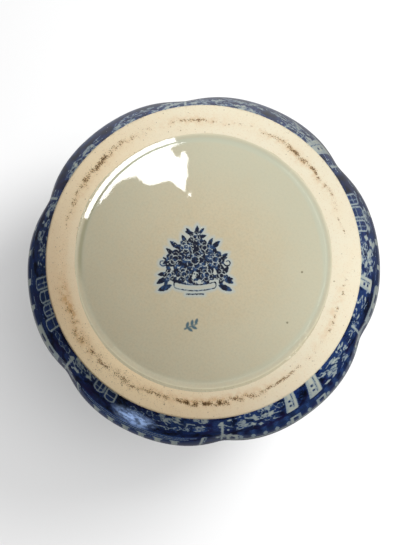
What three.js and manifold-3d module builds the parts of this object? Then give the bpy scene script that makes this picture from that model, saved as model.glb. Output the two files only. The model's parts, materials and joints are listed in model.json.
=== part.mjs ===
// Two-handled six-lobed pottery vase, in millimetres, +Z up.
// The origin is the centre of the foot's resting plane. The handles stand on the X axis.
import * as THREE from 'three';
import { mergeVertices } from 'three/addons/utils/BufferGeometryUtils.js';
import Module from 'manifold-3d';

// Foot ring: a broad unglazed ring with a narrow flat band that touches the table
const footRadius = 80;
const footHeight = 4.8;
const footRingWidth = 15;
const contactBandInset = 6.5;
const contactBandWidth = 4.5;
const footEdgeRise = 1.2;
const footEdgeBevel = 1.6;
const recessLipRise = 1.4;
const recessCoveWidth = 3;
const recessCoveHollow = 0.7;

// Base panel: the glazed floor of the recess inside the foot
const panelThickness = 7;

// Body wall: the crest radius and height of each station that shapes the outline
const wallStartInset = 1.5;
const bellyRadius = 99.5;
const bellyHeight = 76;
const neckRadius = 52;
const bellyToNeck = 120;
const rimRadius = 84;
const neckToRim = 79;

// How far the curves between the stations hold on to the direction of each end
const footFlare = 9;
const footFlareRise = 11;
const lowerBellyFullness = 36;
const shoulderFullness = 54;
const shoulderHollow = 46;
const neckRise = 38;
const rimFlareReach = 22;
const rimFlareDrop = 12;

// Wall thickness of the casting
const bellyWall = 6;
const neckWall = 5;
const lipRound = 3;

// Zones of the one casting, split at level planes
const upperBellyRise = 42;
const neckZoneDrop = 24;
const upperNeckRise = 16;
const rimZoneDrop = 25;

// Six lobes, as a share of the radius lost in the grooves between them
const lobeCount = 6;
const lobeSharpness = 3.6;
const bellyLobeDepth = 0.041;
const neckLobeDepth = 0.022;
const rimLobeDepth = 0.062;
const lobeStartRise = 41;
const rimScallop = 4;

// Handles: an ear-shaped loop from the neck to the shoulder, oval in section
const handleOverhang = 4.5;
const handleTopDrop = 19;
const handleTopTilt = 7;
const handleCrownRise = 20;
const handleCrownInset = 22;
const handleReachDrop = 29;
const handleRootDrop = 49;
const handleRootReach = 31;
const handleRootRise = 17;
const handleSink = 12;
const handleHalfWidth = 8;
const handleHalfThickness = 5.5;
const handleRootHalfWidth = 11;
const handleRootHalfThickness = 7.5;
const rootFlareSharpness = 5;

// Thumb leaf on each handle's crown, tilted down outwards by an angle in degrees
const thumbLeafHalfLength = 15;
const thumbLeafHalfWidth = 6;
const thumbLeafRise = 4.5;
const thumbLeafTilt = 10;

// Root pads: the slip that joins each handle end to the body
const rootPadHalfWidth = 14.5;
const upperPadHalfHeight = 12.5;
const lowerPadHalfHeight = 19;
const rootPadProud = 5;
const lowerPadDrop = 5;

// The gap that neighbours keep where they don't meet on a level plane
const fitGap = 0.3;

// Facets
const segmentsAround = 60;
const lowerBellyRings = 7;
const upperBellyRings = 4;
const shoulderRings = 4;
const lowerNeckRings = 4;
const upperNeckRings = 4;
const rimRings = 4;
const lipSteps = 4;
const blockRings = 40;
const handleSteps = 26;
const handleSides = 12;
const padSegments = 18;
const padRings = 10;

// Sizes that follow from the ones above
const footInnerRadius = footRadius - footRingWidth;
const coveInnerRadius = footInnerRadius - recessCoveWidth;
const coveMiddleRadius = (coveInnerRadius + footInnerRadius) / 2 + recessCoveHollow;
const coveMiddleHeight = (footHeight + recessLipRise) / 2 + recessCoveHollow;
const contactOuterRadius = footRadius - contactBandInset;
const contactInnerRadius = contactOuterRadius - contactBandWidth;
const wallStartRadius = footRadius - wallStartInset;
const neckHeight = bellyHeight + bellyToNeck;
const rimHeight = neckHeight + neckToRim;
const lipHeight = rimHeight - lipRound;
const shoulderStart = bellyHeight + upperBellyRise;
const neckStart = neckHeight - neckZoneDrop;
const upperNeckStart = neckHeight + upperNeckRise;
const rimStart = rimHeight - rimZoneDrop;
const handleReach = bellyRadius + handleOverhang;
const handleCrownRadius = handleReach - handleCrownInset;
const handleTopHeight = rimStart - handleTopDrop;
const handleCrownHeight = handleTopHeight + handleCrownRise;
const handleReachHeight = handleCrownHeight - handleReachDrop;
const handleRootHeight = neckHeight - handleRootDrop;
const lowerPadHeight = handleRootHeight - lowerPadDrop;
const halfLobe = Math.PI / lobeCount;

// The share of a quarter turn's radius that a cubic curve's handle takes to draw it round
const quarterRound = 0.55;

const wasm = await Module();
wasm.setup();

// The outline of the outer wall, as three curves that join smoothly at the belly and the neck
const outline = [
  new THREE.CubicBezierCurve(
    new THREE.Vector2(wallStartRadius, footHeight),
    new THREE.Vector2(wallStartRadius + footFlare, footHeight + footFlareRise),
    new THREE.Vector2(bellyRadius, bellyHeight - lowerBellyFullness),
    new THREE.Vector2(bellyRadius, bellyHeight)
  ),
  new THREE.CubicBezierCurve(
    new THREE.Vector2(bellyRadius, bellyHeight),
    new THREE.Vector2(bellyRadius, bellyHeight + shoulderFullness),
    new THREE.Vector2(neckRadius, neckHeight - shoulderHollow),
    new THREE.Vector2(neckRadius, neckHeight)
  ),
  new THREE.CubicBezierCurve(
    new THREE.Vector2(neckRadius, neckHeight),
    new THREE.Vector2(neckRadius, neckHeight + neckRise),
    new THREE.Vector2(rimRadius - rimFlareReach, rimHeight - rimFlareDrop),
    new THREE.Vector2(rimRadius, rimHeight)
  )
];

function outlinePointAt(height) {
  // Finds the outline's point at a height by halving the curve's parameter
  const curve = outline.find((piece) => height <= piece.v3.y) ?? outline[outline.length - 1];
  let low = 0;
  let high = 1;
  for (let step = 0; step < 40; step += 1) {
    const middle = (low + high) / 2;
    if (curve.getPoint(middle).y < height) low = middle;
    else high = middle;
  }
  const parameter = (low + high) / 2;
  const tangent = curve.getTangent(parameter);
  return { radius: curve.getPoint(parameter).x, slope: tangent.x / tangent.y };
}

function outerRadiusAt(height) {
  return outlinePointAt(height).radius;
}

function innerRadiusAt(height) {
  const { radius, slope } = outlinePointAt(height);
  const share = THREE.MathUtils.smoothstep(height, bellyHeight, neckHeight);
  const wall = THREE.MathUtils.lerp(bellyWall, neckWall, share);
  return radius - wall * Math.hypot(1, slope);
}

function lobeDepthAt(height) {
  const belly = bellyLobeDepth * THREE.MathUtils.smoothstep(height, footHeight, footHeight + lobeStartRise);
  const toNeck = THREE.MathUtils.smoothstep(height, bellyHeight, neckHeight);
  const toRim = THREE.MathUtils.smoothstep(height, neckHeight, rimHeight);
  const lowerPart = THREE.MathUtils.lerp(belly, neckLobeDepth, toNeck);
  return THREE.MathUtils.lerp(lowerPart, rimLobeDepth, toRim);
}

function grooveShare(angle) {
  // 0 on a lobe's crest and 1 in the groove between two lobes; crests face front and back
  const turned = THREE.MathUtils.euclideanModulo(angle + Math.PI / 2 + halfLobe, 2 * halfLobe);
  return Math.pow(Math.abs(turned - halfLobe) / halfLobe, lobeSharpness);
}

function turnProfile(profile) {
  // Turns a closed profile of [radius, height] points about the Z axis
  const points = profile.map(([radius, height]) => new THREE.Vector2(radius, height));
  const geometry = new THREE.LatheGeometry(points, segmentsAround);
  geometry.rotateX(Math.PI / 2);
  return geometry;
}

function addLobes(geometry) {
  // Draws the round wall in at each groove, and drops the rim there
  const position = geometry.attributes.position;
  for (let index = 0; index < position.count; index += 1) {
    const x = position.getX(index);
    const y = position.getY(index);
    const z = position.getZ(index);
    const groove = grooveShare(Math.atan2(y, x));
    const factor = 1 - lobeDepthAt(z) * groove;
    const drop = rimScallop * groove * THREE.MathUtils.smoothstep(z, rimStart, rimHeight);
    position.setXYZ(index, x * factor, y * factor, z - drop);
  }
  geometry.computeVertexNormals();
  return geometry;
}

function wallZone(bottom, top, rings, cap = []) {
  // A stretch of the wall between two level planes, with an optional rounded cap on top.
  // The inner face needs half the rings of the outer one.
  const heightAt = (ring, count) => THREE.MathUtils.lerp(bottom, top, ring / count);
  const innerRings = Math.ceil(rings / 2);
  const loop = [];
  for (let ring = 0; ring <= rings; ring += 1) {
    const height = heightAt(ring, rings);
    loop.push([outerRadiusAt(height), height]);
  }
  loop.push(...cap);
  for (let ring = innerRings; ring >= 0; ring -= 1) {
    const height = heightAt(ring, innerRings);
    loop.push([innerRadiusAt(height), height]);
  }
  loop.push(loop[0]);
  return addLobes(turnProfile(loop));
}

function lipCap(height) {
  // Half an ellipse over the wall's edge
  const outer = outerRadiusAt(height);
  const inner = innerRadiusAt(height);
  const cap = [];
  for (let step = 1; step < lipSteps; step += 1) {
    const angle = (Math.PI * step) / lipSteps;
    const radius = (outer + inner) / 2 + ((outer - inner) / 2) * Math.cos(angle);
    cap.push([radius, height + lipRound * Math.sin(angle)]);
  }
  return cap;
}

function solidOf(geometry) {
  const bare = geometry.clone();
  bare.deleteAttribute('normal');
  bare.deleteAttribute('uv');
  const merged = mergeVertices(bare, 1e-4);
  const mesh = new wasm.Mesh({
    numProp: 3,
    vertProperties: Float32Array.from(merged.attributes.position.array),
    triVerts: Uint32Array.from(merged.index.array)
  });
  return new wasm.Manifold(mesh);
}

function geometryOf(solid) {
  const mesh = solid.getMesh();
  const geometry = new THREE.BufferGeometry();
  geometry.setAttribute('position', new THREE.BufferAttribute(mesh.vertProperties, 3));
  geometry.setIndex(new THREE.BufferAttribute(mesh.triVerts, 1));
  geometry.computeVertexNormals();
  return geometry;
}

function bodyBlock(gap) {
  // The body's outer shape as one full block, grown by a gap, to cut what stands against it
  const profile = [[0, footHeight]];
  for (let ring = 0; ring <= blockRings; ring += 1) {
    const height = THREE.MathUtils.lerp(footHeight, lipHeight, ring / blockRings);
    const { radius, slope } = outlinePointAt(height);
    profile.push([radius + gap * Math.hypot(1, slope), height]);
  }
  profile.push([0, lipHeight]);
  return solidOf(addLobes(turnProfile(profile)));
}

function sweepOval(path, halfWidthAt, halfThicknessAt) {
  // Carries an oval along a path in the XZ plane, closed at both ends
  const positions = [];
  const indices = [];
  for (let step = 0; step <= handleSteps; step += 1) {
    const along = step / handleSteps;
    const centre = path.getPoint(along);
    const tangent = path.getTangent(along);
    const normal = new THREE.Vector3(tangent.z, 0, -tangent.x);
    for (let side = 0; side < handleSides; side += 1) {
      const angle = (2 * Math.PI * side) / handleSides;
      const point = centre.clone().addScaledVector(normal, halfThicknessAt(along) * Math.cos(angle));
      positions.push(point.x, halfWidthAt(along) * Math.sin(angle), point.z);
    }
  }
  for (let step = 0; step < handleSteps; step += 1) {
    for (let side = 0; side < handleSides; side += 1) {
      const a = step * handleSides + side;
      const b = step * handleSides + ((side + 1) % handleSides);
      indices.push(a, b, a + handleSides, b, b + handleSides, a + handleSides);
    }
  }
  const last = handleSteps * handleSides;
  for (let side = 1; side < handleSides - 1; side += 1) {
    indices.push(0, side + 1, side);
    indices.push(last, last + side, last + side + 1);
  }
  const geometry = new THREE.BufferGeometry();
  geometry.setAttribute('position', new THREE.Float32BufferAttribute(positions, 3));
  geometry.setIndex(indices);
  return geometry;
}

function grooveRadiusAt(height) {
  return outerRadiusAt(height) * (1 - lobeDepthAt(height));
}

function pointXZ([x, z]) {
  return new THREE.Vector3(x, 0, z);
}

function handlePath() {
  // The loop's centre line, from inside the neck over the crown and down into the shoulder
  const neckEnd = grooveRadiusAt(handleTopHeight) - handleSink;
  const rootEnd = grooveRadiusAt(handleRootHeight) - handleSink;
  const crownRound = handleCrownInset * quarterRound;
  const reachRound = handleReachDrop * quarterRound;
  const fallRound = (handleReachHeight - handleRootHeight) * quarterRound;
  const stretches = [
    [
      [neckEnd, handleTopHeight - handleTopTilt],
      [neckEnd + handleSink, handleTopHeight + handleTopTilt],
      [handleCrownRadius - crownRound, handleCrownHeight],
      [handleCrownRadius, handleCrownHeight]
    ],
    [
      [handleCrownRadius, handleCrownHeight],
      [handleCrownRadius + crownRound, handleCrownHeight],
      [handleReach, handleReachHeight + reachRound],
      [handleReach, handleReachHeight]
    ],
    [
      [handleReach, handleReachHeight],
      [handleReach, handleReachHeight - fallRound],
      [rootEnd + handleRootReach, handleRootHeight + handleRootRise],
      [rootEnd, handleRootHeight]
    ]
  ];
  const path = new THREE.CurvePath();
  for (const stretch of stretches) path.add(new THREE.CubicBezierCurve3(...stretch.map(pointXZ)));
  return path;
}

function ellipsoid(halfX, halfY, halfZ) {
  const geometry = new THREE.SphereGeometry(1, padSegments, padRings);
  geometry.scale(halfX, halfY, halfZ);
  return geometry;
}

function rootPad(height, halfHeight, gap) {
  // A flattened boss on the groove's surface, leaning with the wall, grown by a gap
  const { slope } = outlinePointAt(height);
  const geometry = ellipsoid(rootPadProud + gap, rootPadHalfWidth + gap, halfHeight + gap);
  geometry.rotateY(Math.atan(slope));
  geometry.translate(grooveRadiusAt(height), 0, height);
  return solidOf(geometry);
}

function thumbLeaf() {
  // The small leaf on the handle's crown, where the thumb rests
  const geometry = ellipsoid(thumbLeafHalfLength, thumbLeafHalfWidth, thumbLeafRise);
  geometry.rotateY(THREE.MathUtils.degToRad(thumbLeafTilt));
  geometry.translate(handleCrownRadius, 0, handleCrownHeight + handleHalfThickness - thumbLeafRise / 2);
  return solidOf(geometry);
}

function buildHandleSet() {
  const block = bodyBlock(fitGap);
  const flare = (along) => Math.pow(Math.abs(2 * along - 1), rootFlareSharpness);
  const bar = sweepOval(
    handlePath(),
    (along) => THREE.MathUtils.lerp(handleHalfWidth, handleRootHalfWidth, flare(along)),
    (along) => THREE.MathUtils.lerp(handleHalfThickness, handleRootHalfThickness, flare(along))
  );
  const upperCut = rootPad(handleTopHeight, upperPadHalfHeight, fitGap);
  const lowerCut = rootPad(lowerPadHeight, lowerPadHalfHeight, fitGap);
  const handle = solidOf(bar).add(thumbLeaf()).subtract(block).subtract(upperCut).subtract(lowerCut);
  return {
    handle: geometryOf(handle),
    upperRoot: geometryOf(rootPad(handleTopHeight, upperPadHalfHeight, 0).subtract(block)),
    lowerRoot: geometryOf(rootPad(lowerPadHeight, lowerPadHalfHeight, 0).subtract(block))
  };
}

function buildFootRing() {
  return turnProfile([
    [contactInnerRadius, 0],
    [contactOuterRadius, 0],
    [footRadius - footEdgeBevel, footEdgeRise],
    [footRadius, footEdgeRise + footEdgeBevel],
    [footRadius, footHeight],
    [coveInnerRadius, footHeight],
    [coveMiddleRadius, coveMiddleHeight],
    [footInnerRadius, recessLipRise],
    [contactInnerRadius, 0]
  ]);
}

function buildBasePanel() {
  const radius = innerRadiusAt(footHeight) - fitGap;
  return turnProfile([
    [0, footHeight],
    [radius, footHeight],
    [radius, footHeight + panelThickness],
    [0, footHeight + panelThickness]
  ]);
}

const bareClay = { color: 0xe9dcc0, roughness: 0.85 };
const baseGlaze = { color: 0xc5bfa2, roughness: 0.12 };
const cobaltGlaze = { color: 0x1c2a66, roughness: 0.12 };
const handleGlaze = { color: 0x172150, roughness: 0.12 };

const vase = new THREE.Group();

function addPiece(parent, name, geometry, finish) {
  const material = new THREE.MeshStandardMaterial({ ...finish, metalness: 0 });
  const mesh = new THREE.Mesh(geometry, material);
  mesh.name = name;
  parent.add(mesh);
}

addPiece(vase, 'foot_ring', buildFootRing(), bareClay);
addPiece(vase, 'base_panel', buildBasePanel(), baseGlaze);
addPiece(vase, 'lower_belly_wall', wallZone(footHeight, bellyHeight, lowerBellyRings), cobaltGlaze);
addPiece(vase, 'upper_belly_wall', wallZone(bellyHeight, shoulderStart, upperBellyRings), cobaltGlaze);
addPiece(vase, 'shoulder_wall', wallZone(shoulderStart, neckStart, shoulderRings), cobaltGlaze);
addPiece(vase, 'lower_neck_wall', wallZone(neckStart, upperNeckStart, lowerNeckRings), cobaltGlaze);
addPiece(vase, 'upper_neck_wall', wallZone(upperNeckStart, rimStart, upperNeckRings), cobaltGlaze);
addPiece(vase, 'rim_lip', wallZone(rimStart, lipHeight, rimRings, lipCap(lipHeight)), cobaltGlaze);

const handleSet = buildHandleSet();
for (const [side, turn] of [['right', 0], ['left', Math.PI]]) {
  const group = new THREE.Group();
  group.rotation.z = turn;
  vase.add(group);
  addPiece(group, `handle_${side}`, handleSet.handle, handleGlaze);
  addPiece(group, `handle_${side}_upper_root`, handleSet.upperRoot, handleGlaze);
  addPiece(group, `handle_${side}_lower_root`, handleSet.lowerRoot, handleGlaze);
}

export default vase;
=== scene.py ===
"""Looks of a two-handled vase of blue printed earthenware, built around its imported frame.

Lengths are written in millimetres and turn to Blender's metres by MM where a mesh, a lamp or the
camera takes them. The vase stands on z = 0, its handles lie along X, and a lobe's crest faces the front.
"""

from __future__ import annotations

import json
import logging
import math
from contextlib import contextmanager
from dataclasses import dataclass
from enum import Enum
from typing import Any, Callable, Iterator, Sequence

import bpy
import numpy as np
from mathutils import Matrix, Vector

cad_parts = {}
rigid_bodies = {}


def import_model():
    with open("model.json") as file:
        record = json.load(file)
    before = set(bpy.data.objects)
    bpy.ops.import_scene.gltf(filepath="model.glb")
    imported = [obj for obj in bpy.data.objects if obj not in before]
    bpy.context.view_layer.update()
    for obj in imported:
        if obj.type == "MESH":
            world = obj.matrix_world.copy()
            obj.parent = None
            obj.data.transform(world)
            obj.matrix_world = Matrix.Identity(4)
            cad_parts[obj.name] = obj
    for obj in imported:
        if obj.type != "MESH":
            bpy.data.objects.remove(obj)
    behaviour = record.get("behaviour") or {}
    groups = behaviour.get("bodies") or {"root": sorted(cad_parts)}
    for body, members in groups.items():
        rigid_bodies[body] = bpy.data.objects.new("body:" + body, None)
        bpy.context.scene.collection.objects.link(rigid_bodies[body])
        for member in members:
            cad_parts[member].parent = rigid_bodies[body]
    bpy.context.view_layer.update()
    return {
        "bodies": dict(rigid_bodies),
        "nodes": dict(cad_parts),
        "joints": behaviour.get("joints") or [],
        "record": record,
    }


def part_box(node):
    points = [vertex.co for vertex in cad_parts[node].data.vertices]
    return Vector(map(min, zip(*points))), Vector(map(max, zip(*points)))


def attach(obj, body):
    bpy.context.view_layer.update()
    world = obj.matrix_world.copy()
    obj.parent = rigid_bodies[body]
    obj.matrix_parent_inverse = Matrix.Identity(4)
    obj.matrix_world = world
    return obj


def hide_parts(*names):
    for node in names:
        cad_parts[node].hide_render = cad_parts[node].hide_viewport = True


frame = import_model()

LOG = logging.getLogger("vase")
MM = 0.001
SAME_PLACE = 0.002 * MM
FAR_FROM_PRINT = 4.0
GLAZE_INDEX = 1.52
MIX_FACTOR, MIX_A, MIX_B, MIX_RESULT = 0, 6, 7, 2
Array = np.ndarray
Arrays = tuple[Array, Array]
Pair = tuple[float, float]
Outline = Sequence[Pair]
Shape = Callable[[Array, Array], Array]
Piece = bpy.types.Object
Material = bpy.types.Material
Socket = bpy.types.NodeSocket


# Small tools for numbers, meshes and nodes


def linear(code: str) -> tuple[float, float, float, float]:
    """Turns an sRGB hex colour to a linear RGBA one.

    Args:
        code: six hex digits after a hash sign.

    Returns:
        The linear red, green, blue and an alpha of 1.
    """
    shares = [int(code[place : place + 2], 16) / 255 for place in (1, 3, 5)]
    bent = [s / 12.92 if s <= 0.04045 else ((s + 0.055) / 1.055) ** 2.4 for s in shares]
    return (bent[0], bent[1], bent[2], 1.0)


def smoothstep(value: Array, low: float, high: float) -> Array:
    """Rises smoothly from 0 at low to 1 at high, for one number or an array."""
    share = np.clip((value - low) / (high - low), 0.0, 1.0)
    return share * share * (3.0 - 2.0 * share)


def between(start: Any, end: Any, share: Any) -> Any:
    """Goes from start to end as the share goes from 0 to 1, for numbers or arrays."""
    return start + (end - start) * share


def joined(points: Outline, steps: int) -> Array:
    """Samples cubic curves that are joined end to end.

    Args:
        points: the first curve's start, two control points and its end, and three more for each next curve.
        steps: how many stretches the samples make on each curve.

    Returns:
        An array of points.
    """
    share = np.linspace(0.0, 1.0, steps + 1)[:, None]
    rest = 1.0 - share
    samples = [np.array(points[:1], float)]
    for index in range(0, len(points) - 1, 3):
        start, first, second, end = np.array(points[index : index + 4], float)
        curve = rest**3 * start + 3 * rest**2 * share * first + 3 * rest * share**2 * second + share**3 * end
        samples.append(curve[1:])
    return np.vstack(samples)


def lengths_along(path: Array) -> Array:
    """Gives how far along a path of flat points each of them lies."""
    return np.concatenate([[0.0], np.cumsum(np.hypot(*np.diff(path, axis=0).T))])


def turn_between(direction: Array, centre: float) -> Array:
    """Gives the angle between directions and a centre in degrees, from 0 to 180."""
    return np.abs(np.mod(direction - centre + 180, 360) - 180)


def bell(value: Array, centre: float, width: float) -> Array:
    """Gives a smooth hump that is 1 at the centre and falls away over a width."""
    return np.exp(-(((value - centre) / width) ** 2))


def polar(radius: float, angle: float) -> Pair:
    """Gives the flat place at a radius and an angle in degrees."""
    return radius * math.cos(math.radians(angle)), radius * math.sin(math.radians(angle))


class Ripple:
    """A smooth, seeded unevenness: a few sine waves that run in random directions."""

    def __init__(self, seed: int, wavelength: float, waves: int = 9) -> None:
        """Draws the waves.

        Args:
            seed: picks the directions and phases.
            wavelength: the mean wavelength in millimetres.
            waves: how many waves add up.
        """
        draw = np.random.default_rng(seed)
        direction = draw.normal(size=(waves, 3))
        direction /= np.linalg.norm(direction, axis=1)[:, None]
        length = wavelength * draw.uniform(0.7, 1.5, waves)
        self.vectors = direction * (2 * math.pi / length)[:, None]
        self.phases = draw.uniform(0, 2 * math.pi, waves)

    def at(self, points: Array) -> Array:
        """Gives the unevenness at points in millimetres, mostly between -1 and 1."""
        waves = np.sin(points @ self.vectors.T + self.phases)
        return waves.sum(axis=1) / math.sqrt(len(self.phases))


def choose(piece: Piece) -> None:
    """Makes a piece the only selected and the active object."""
    bpy.ops.object.select_all(action="DESELECT")
    piece.select_set(True)
    bpy.context.view_layer.objects.active = piece


@contextmanager
def edit_mode(piece: Piece) -> Iterator[None]:
    """Opens a piece in edit mode and closes it again.

    Args:
        piece: the piece.
    """
    choose(piece)
    bpy.ops.object.mode_set(mode="EDIT")
    yield
    bpy.ops.object.mode_set(mode="OBJECT")


def points_of(piece: Piece) -> Array:
    """Reads a mesh's vertices in millimetres."""
    flat = np.empty(len(piece.data.vertices) * 3)
    piece.data.vertices.foreach_get("co", flat)
    return flat.reshape(-1, 3) / MM


def move_points(piece: Piece, points: Array) -> None:
    """Sets a mesh's vertices from an array in millimetres."""
    piece.data.vertices.foreach_set("co", (points * MM).ravel())
    piece.data.update()


def store(piece: Piece, name: str, values: Array) -> None:
    """Keeps one number for each vertex, for the piece's material to read."""
    attribute = piece.data.attributes.new(name, "FLOAT", "POINT")
    attribute.data.foreach_set("value", values.astype(np.float32))


def face_outwards(piece: Piece) -> None:
    """Merges doubled vertices and turns all faces outwards.

    Args:
        piece: the piece.
    """
    with edit_mode(piece):
        bpy.ops.mesh.select_all(action="SELECT")
        bpy.ops.mesh.remove_doubles(threshold=SAME_PLACE)
        bpy.ops.mesh.normals_make_consistent(inside=False)


def apply_modifier(piece: Piece, kind: str, **settings: Any) -> None:
    """Changes a piece for good by a modifier of a kind, with the modifier's own settings.

    Args:
        piece: the piece.
        kind: the modifier's type.
        settings: the settings.
    """
    choose(piece)
    modifier = piece.modifiers.new("change", kind)
    for key, value in settings.items():
        setattr(modifier, key, value)
    bpy.ops.object.modifier_apply(modifier=modifier.name)


def circle(name: str, corners: int, radius: float, fill: str) -> Piece:
    """Adds a level circle about the origin.

    Args:
        name: the new piece's name.
        corners: how many corners it has.
        radius: its radius in millimetres.
        fill: NGON for a disc, NOTHING for the bare edge.

    Returns:
        The circle.
    """
    bpy.ops.object.select_all(action="DESELECT")
    bpy.ops.mesh.primitive_circle_add(vertices=corners, radius=radius * MM, fill_type=fill)
    piece = bpy.context.object
    piece.name = name
    return piece


def turned(name: str, outline: Outline, steps: int, on_axis: bool = False) -> Piece:
    """Turns a closed outline about the Z axis, as on a wheel.

    Args:
        name: the new piece's name.
        outline: radius and height of each point, in millimetres.
        steps: facets around.
        on_axis: True where the outline's first and last points lie on the axis.

    Returns:
        The turned piece.
    """
    piece = circle(name, len(outline), 10.0, "NOTHING")
    piece.data.name = name
    move_points(piece, np.array([[radius, 0.0, height] for radius, height in outline]))
    if on_axis:
        with edit_mode(piece):
            bpy.ops.mesh.select_mode(type="EDGE")
            bpy.ops.mesh.select_all(action="DESELECT")
        closing = {0, len(outline) - 1}
        for edge in piece.data.edges:
            edge.select = set(edge.vertices) == closing
        with edit_mode(piece):
            bpy.ops.mesh.delete(type="EDGE")
    wheel = {"steps": steps, "render_steps": steps, "use_merge_vertices": True, "merge_threshold": SAME_PLACE}
    apply_modifier(piece, "SCREW", **wheel)
    face_outwards(piece)
    return piece


def smooth(piece: Piece, angle: float) -> None:
    """Shades a piece smooth, save for edges sharper than an angle in degrees."""
    choose(piece)
    bpy.ops.object.shade_smooth_by_angle(angle=math.radians(angle))


# The vase's shape, from the same sizes as its solids


@dataclass(frozen=True)
class BodyShape:
    """The casting's outline, lobes and wall, in millimetres."""

    foot_radius: float = 80.0
    foot_height: float = 4.8
    wall_start_radius: float = 78.5
    foot_flare: float = 9.0
    foot_flare_rise: float = 11.0
    belly_radius: float = 99.4
    belly_height: float = 76.0
    lower_fullness: float = 36.0
    upper_fullness: float = 54.0
    neck_radius: float = 52.0
    neck_height: float = 196.0
    shoulder_hollow: float = 46.0
    neck_rise: float = 38.0
    rim_radius: float = 84.0
    rim_height: float = 275.0
    rim_start: float = 250.0
    rim_flare_reach: float = 22.0
    rim_flare_drop: float = 12.0
    belly_wall: float = 6.0
    neck_wall: float = 5.0
    lip_round: float = 3.0
    lobe_count: int = 6
    lobe_sharpness: float = 3.6
    groove_softness: float = 0.07
    belly_lobe_depth: float = 0.041
    neck_lobe_depth: float = 0.022
    rim_lobe_depth: float = 0.062
    lobe_start_rise: float = 41.0
    rim_scallop: float = 4.0

    def stations(self) -> Array:
        """Samples the outline as radius and height, from the foot to the rim."""
        points = (
            (self.wall_start_radius, self.foot_height),
            (self.wall_start_radius + self.foot_flare, self.foot_height + self.foot_flare_rise),
            (self.belly_radius, self.belly_height - self.lower_fullness),
            (self.belly_radius, self.belly_height),
            (self.belly_radius, self.belly_height + self.upper_fullness),
            (self.neck_radius, self.neck_height - self.shoulder_hollow),
            (self.neck_radius, self.neck_height),
            (self.neck_radius, self.neck_height + self.neck_rise),
            (self.rim_radius - self.rim_flare_reach, self.rim_height - self.rim_flare_drop),
            (self.rim_radius, self.rim_height),
        )
        return joined(points, 600)

    def radius(self, height: Array) -> Array:
        """Gives the outer radius over a lobe's crest at a height."""
        table = self.stations()
        return np.interp(height, table[:, 1], table[:, 0])

    def slope(self, height: Array) -> Array:
        """Gives how much the outer radius grows for each millimetre of height.

        Args:
            height: one height, or an array.

        Returns:
            The slope.
        """
        reach = 0.4
        low = np.clip(height - reach, self.foot_height, self.rim_height)
        high = np.clip(height + reach, self.foot_height, self.rim_height)
        return (self.radius(high) - self.radius(low)) / (high - low)

    def inner_radius(self, height: Array) -> Array:
        """Gives the inner radius over a lobe's crest at a height."""
        share = smoothstep(height, self.belly_height, self.neck_height)
        wall = between(self.belly_wall, self.neck_wall, share)
        return self.radius(height) - wall * np.hypot(1.0, self.slope(height))

    def along(self, height: Array) -> Array:
        """Gives the distance along the outer wall from the foot up to a height."""
        table = self.stations()
        return np.interp(height, table[:, 1], lengths_along(table))

    def lobe_depth(self, height: Array) -> Array:
        """Gives the share of the radius that a groove takes at a height.

        Args:
            height: one height, or an array.

        Returns:
            The share.
        """
        start = smoothstep(height, self.foot_height, self.foot_height + self.lobe_start_rise)
        to_neck = smoothstep(height, self.belly_height, self.neck_height)
        to_rim = smoothstep(height, self.neck_height, self.rim_height)
        lower = between(self.belly_lobe_depth * start, self.neck_lobe_depth, to_neck)
        return between(lower, self.rim_lobe_depth, to_rim)

    def from_crest(self, angle: Array) -> Array:
        """Gives the angle from the nearest lobe's crest, in radians, with its sign."""
        width = 2 * math.pi / self.lobe_count
        return np.mod(angle + math.pi / 2 + width / 2, width) - width / 2

    def groove(self, angle: Array) -> Array:
        """Gives 0 on a lobe's crest and 1 in the groove, whose bottom is rounded.

        Args:
            angle: directions in radians.

        Returns:
            How far into the groove each lies.
        """
        half = math.pi / self.lobe_count
        away = 1.0 - np.abs(self.from_crest(angle)) / half
        softened = np.sqrt(away**2 + self.groove_softness**2) - 0.6 * self.groove_softness
        return np.clip(1.0 - softened, 0.0, 1.0) ** self.lobe_sharpness

    def press_lobes(self, points: Array) -> Array:
        """Draws a round wall in at each groove, and drops the rim there.

        Args:
            points: vertices of the round wall, in millimetres.

        Returns:
            The vertices of the lobed wall.
        """
        angle = np.arctan2(points[:, 1], points[:, 0])
        groove = self.groove(angle)
        factor = 1.0 - self.lobe_depth(points[:, 2]) * groove
        drop = self.rim_scallop * groove * smoothstep(points[:, 2], self.rim_start, self.rim_height)
        return np.column_stack([points[:, 0] * factor, points[:, 1] * factor, points[:, 2] - drop])

    def groove_radius(self, height: float) -> float:
        """Gives the outer radius in the bottom of a groove, where the handles stand."""
        depth = float(self.lobe_depth(np.array(height)) * self.groove(np.array(0.0)))
        return float(self.radius(np.array(height))) * (1.0 - depth)


BODY = BodyShape()


# The print: shapes as signed distances, negative inside, and the stencil that they are drawn on


def disc(radius: float) -> Shape:
    """A round spot."""
    return lambda x, y: np.hypot(x, y) - radius


def hoop(radius: float, width: float) -> Shape:
    """A round line."""
    return lambda x, y: np.abs(np.hypot(x, y) - radius) - width / 2


def block(half_width: float, half_height: float, rounding: float = 0.0) -> Shape:
    """A rectangle, with rounded corners where asked.

    Args:
        half_width: half the width.
        half_height: half the height.
        rounding: the corners' radius.

    Returns:
        The shape.
    """

    def distance(x: Array, y: Array) -> Array:
        """Gives each point's distance to the shape's edge, negative inside."""
        across = np.abs(x) - half_width + rounding
        up = np.abs(y) - half_height + rounding
        outside = np.hypot(np.maximum(across, 0.0), np.maximum(up, 0.0))
        return outside + np.minimum(np.maximum(across, up), 0.0) - rounding

    return distance


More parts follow.
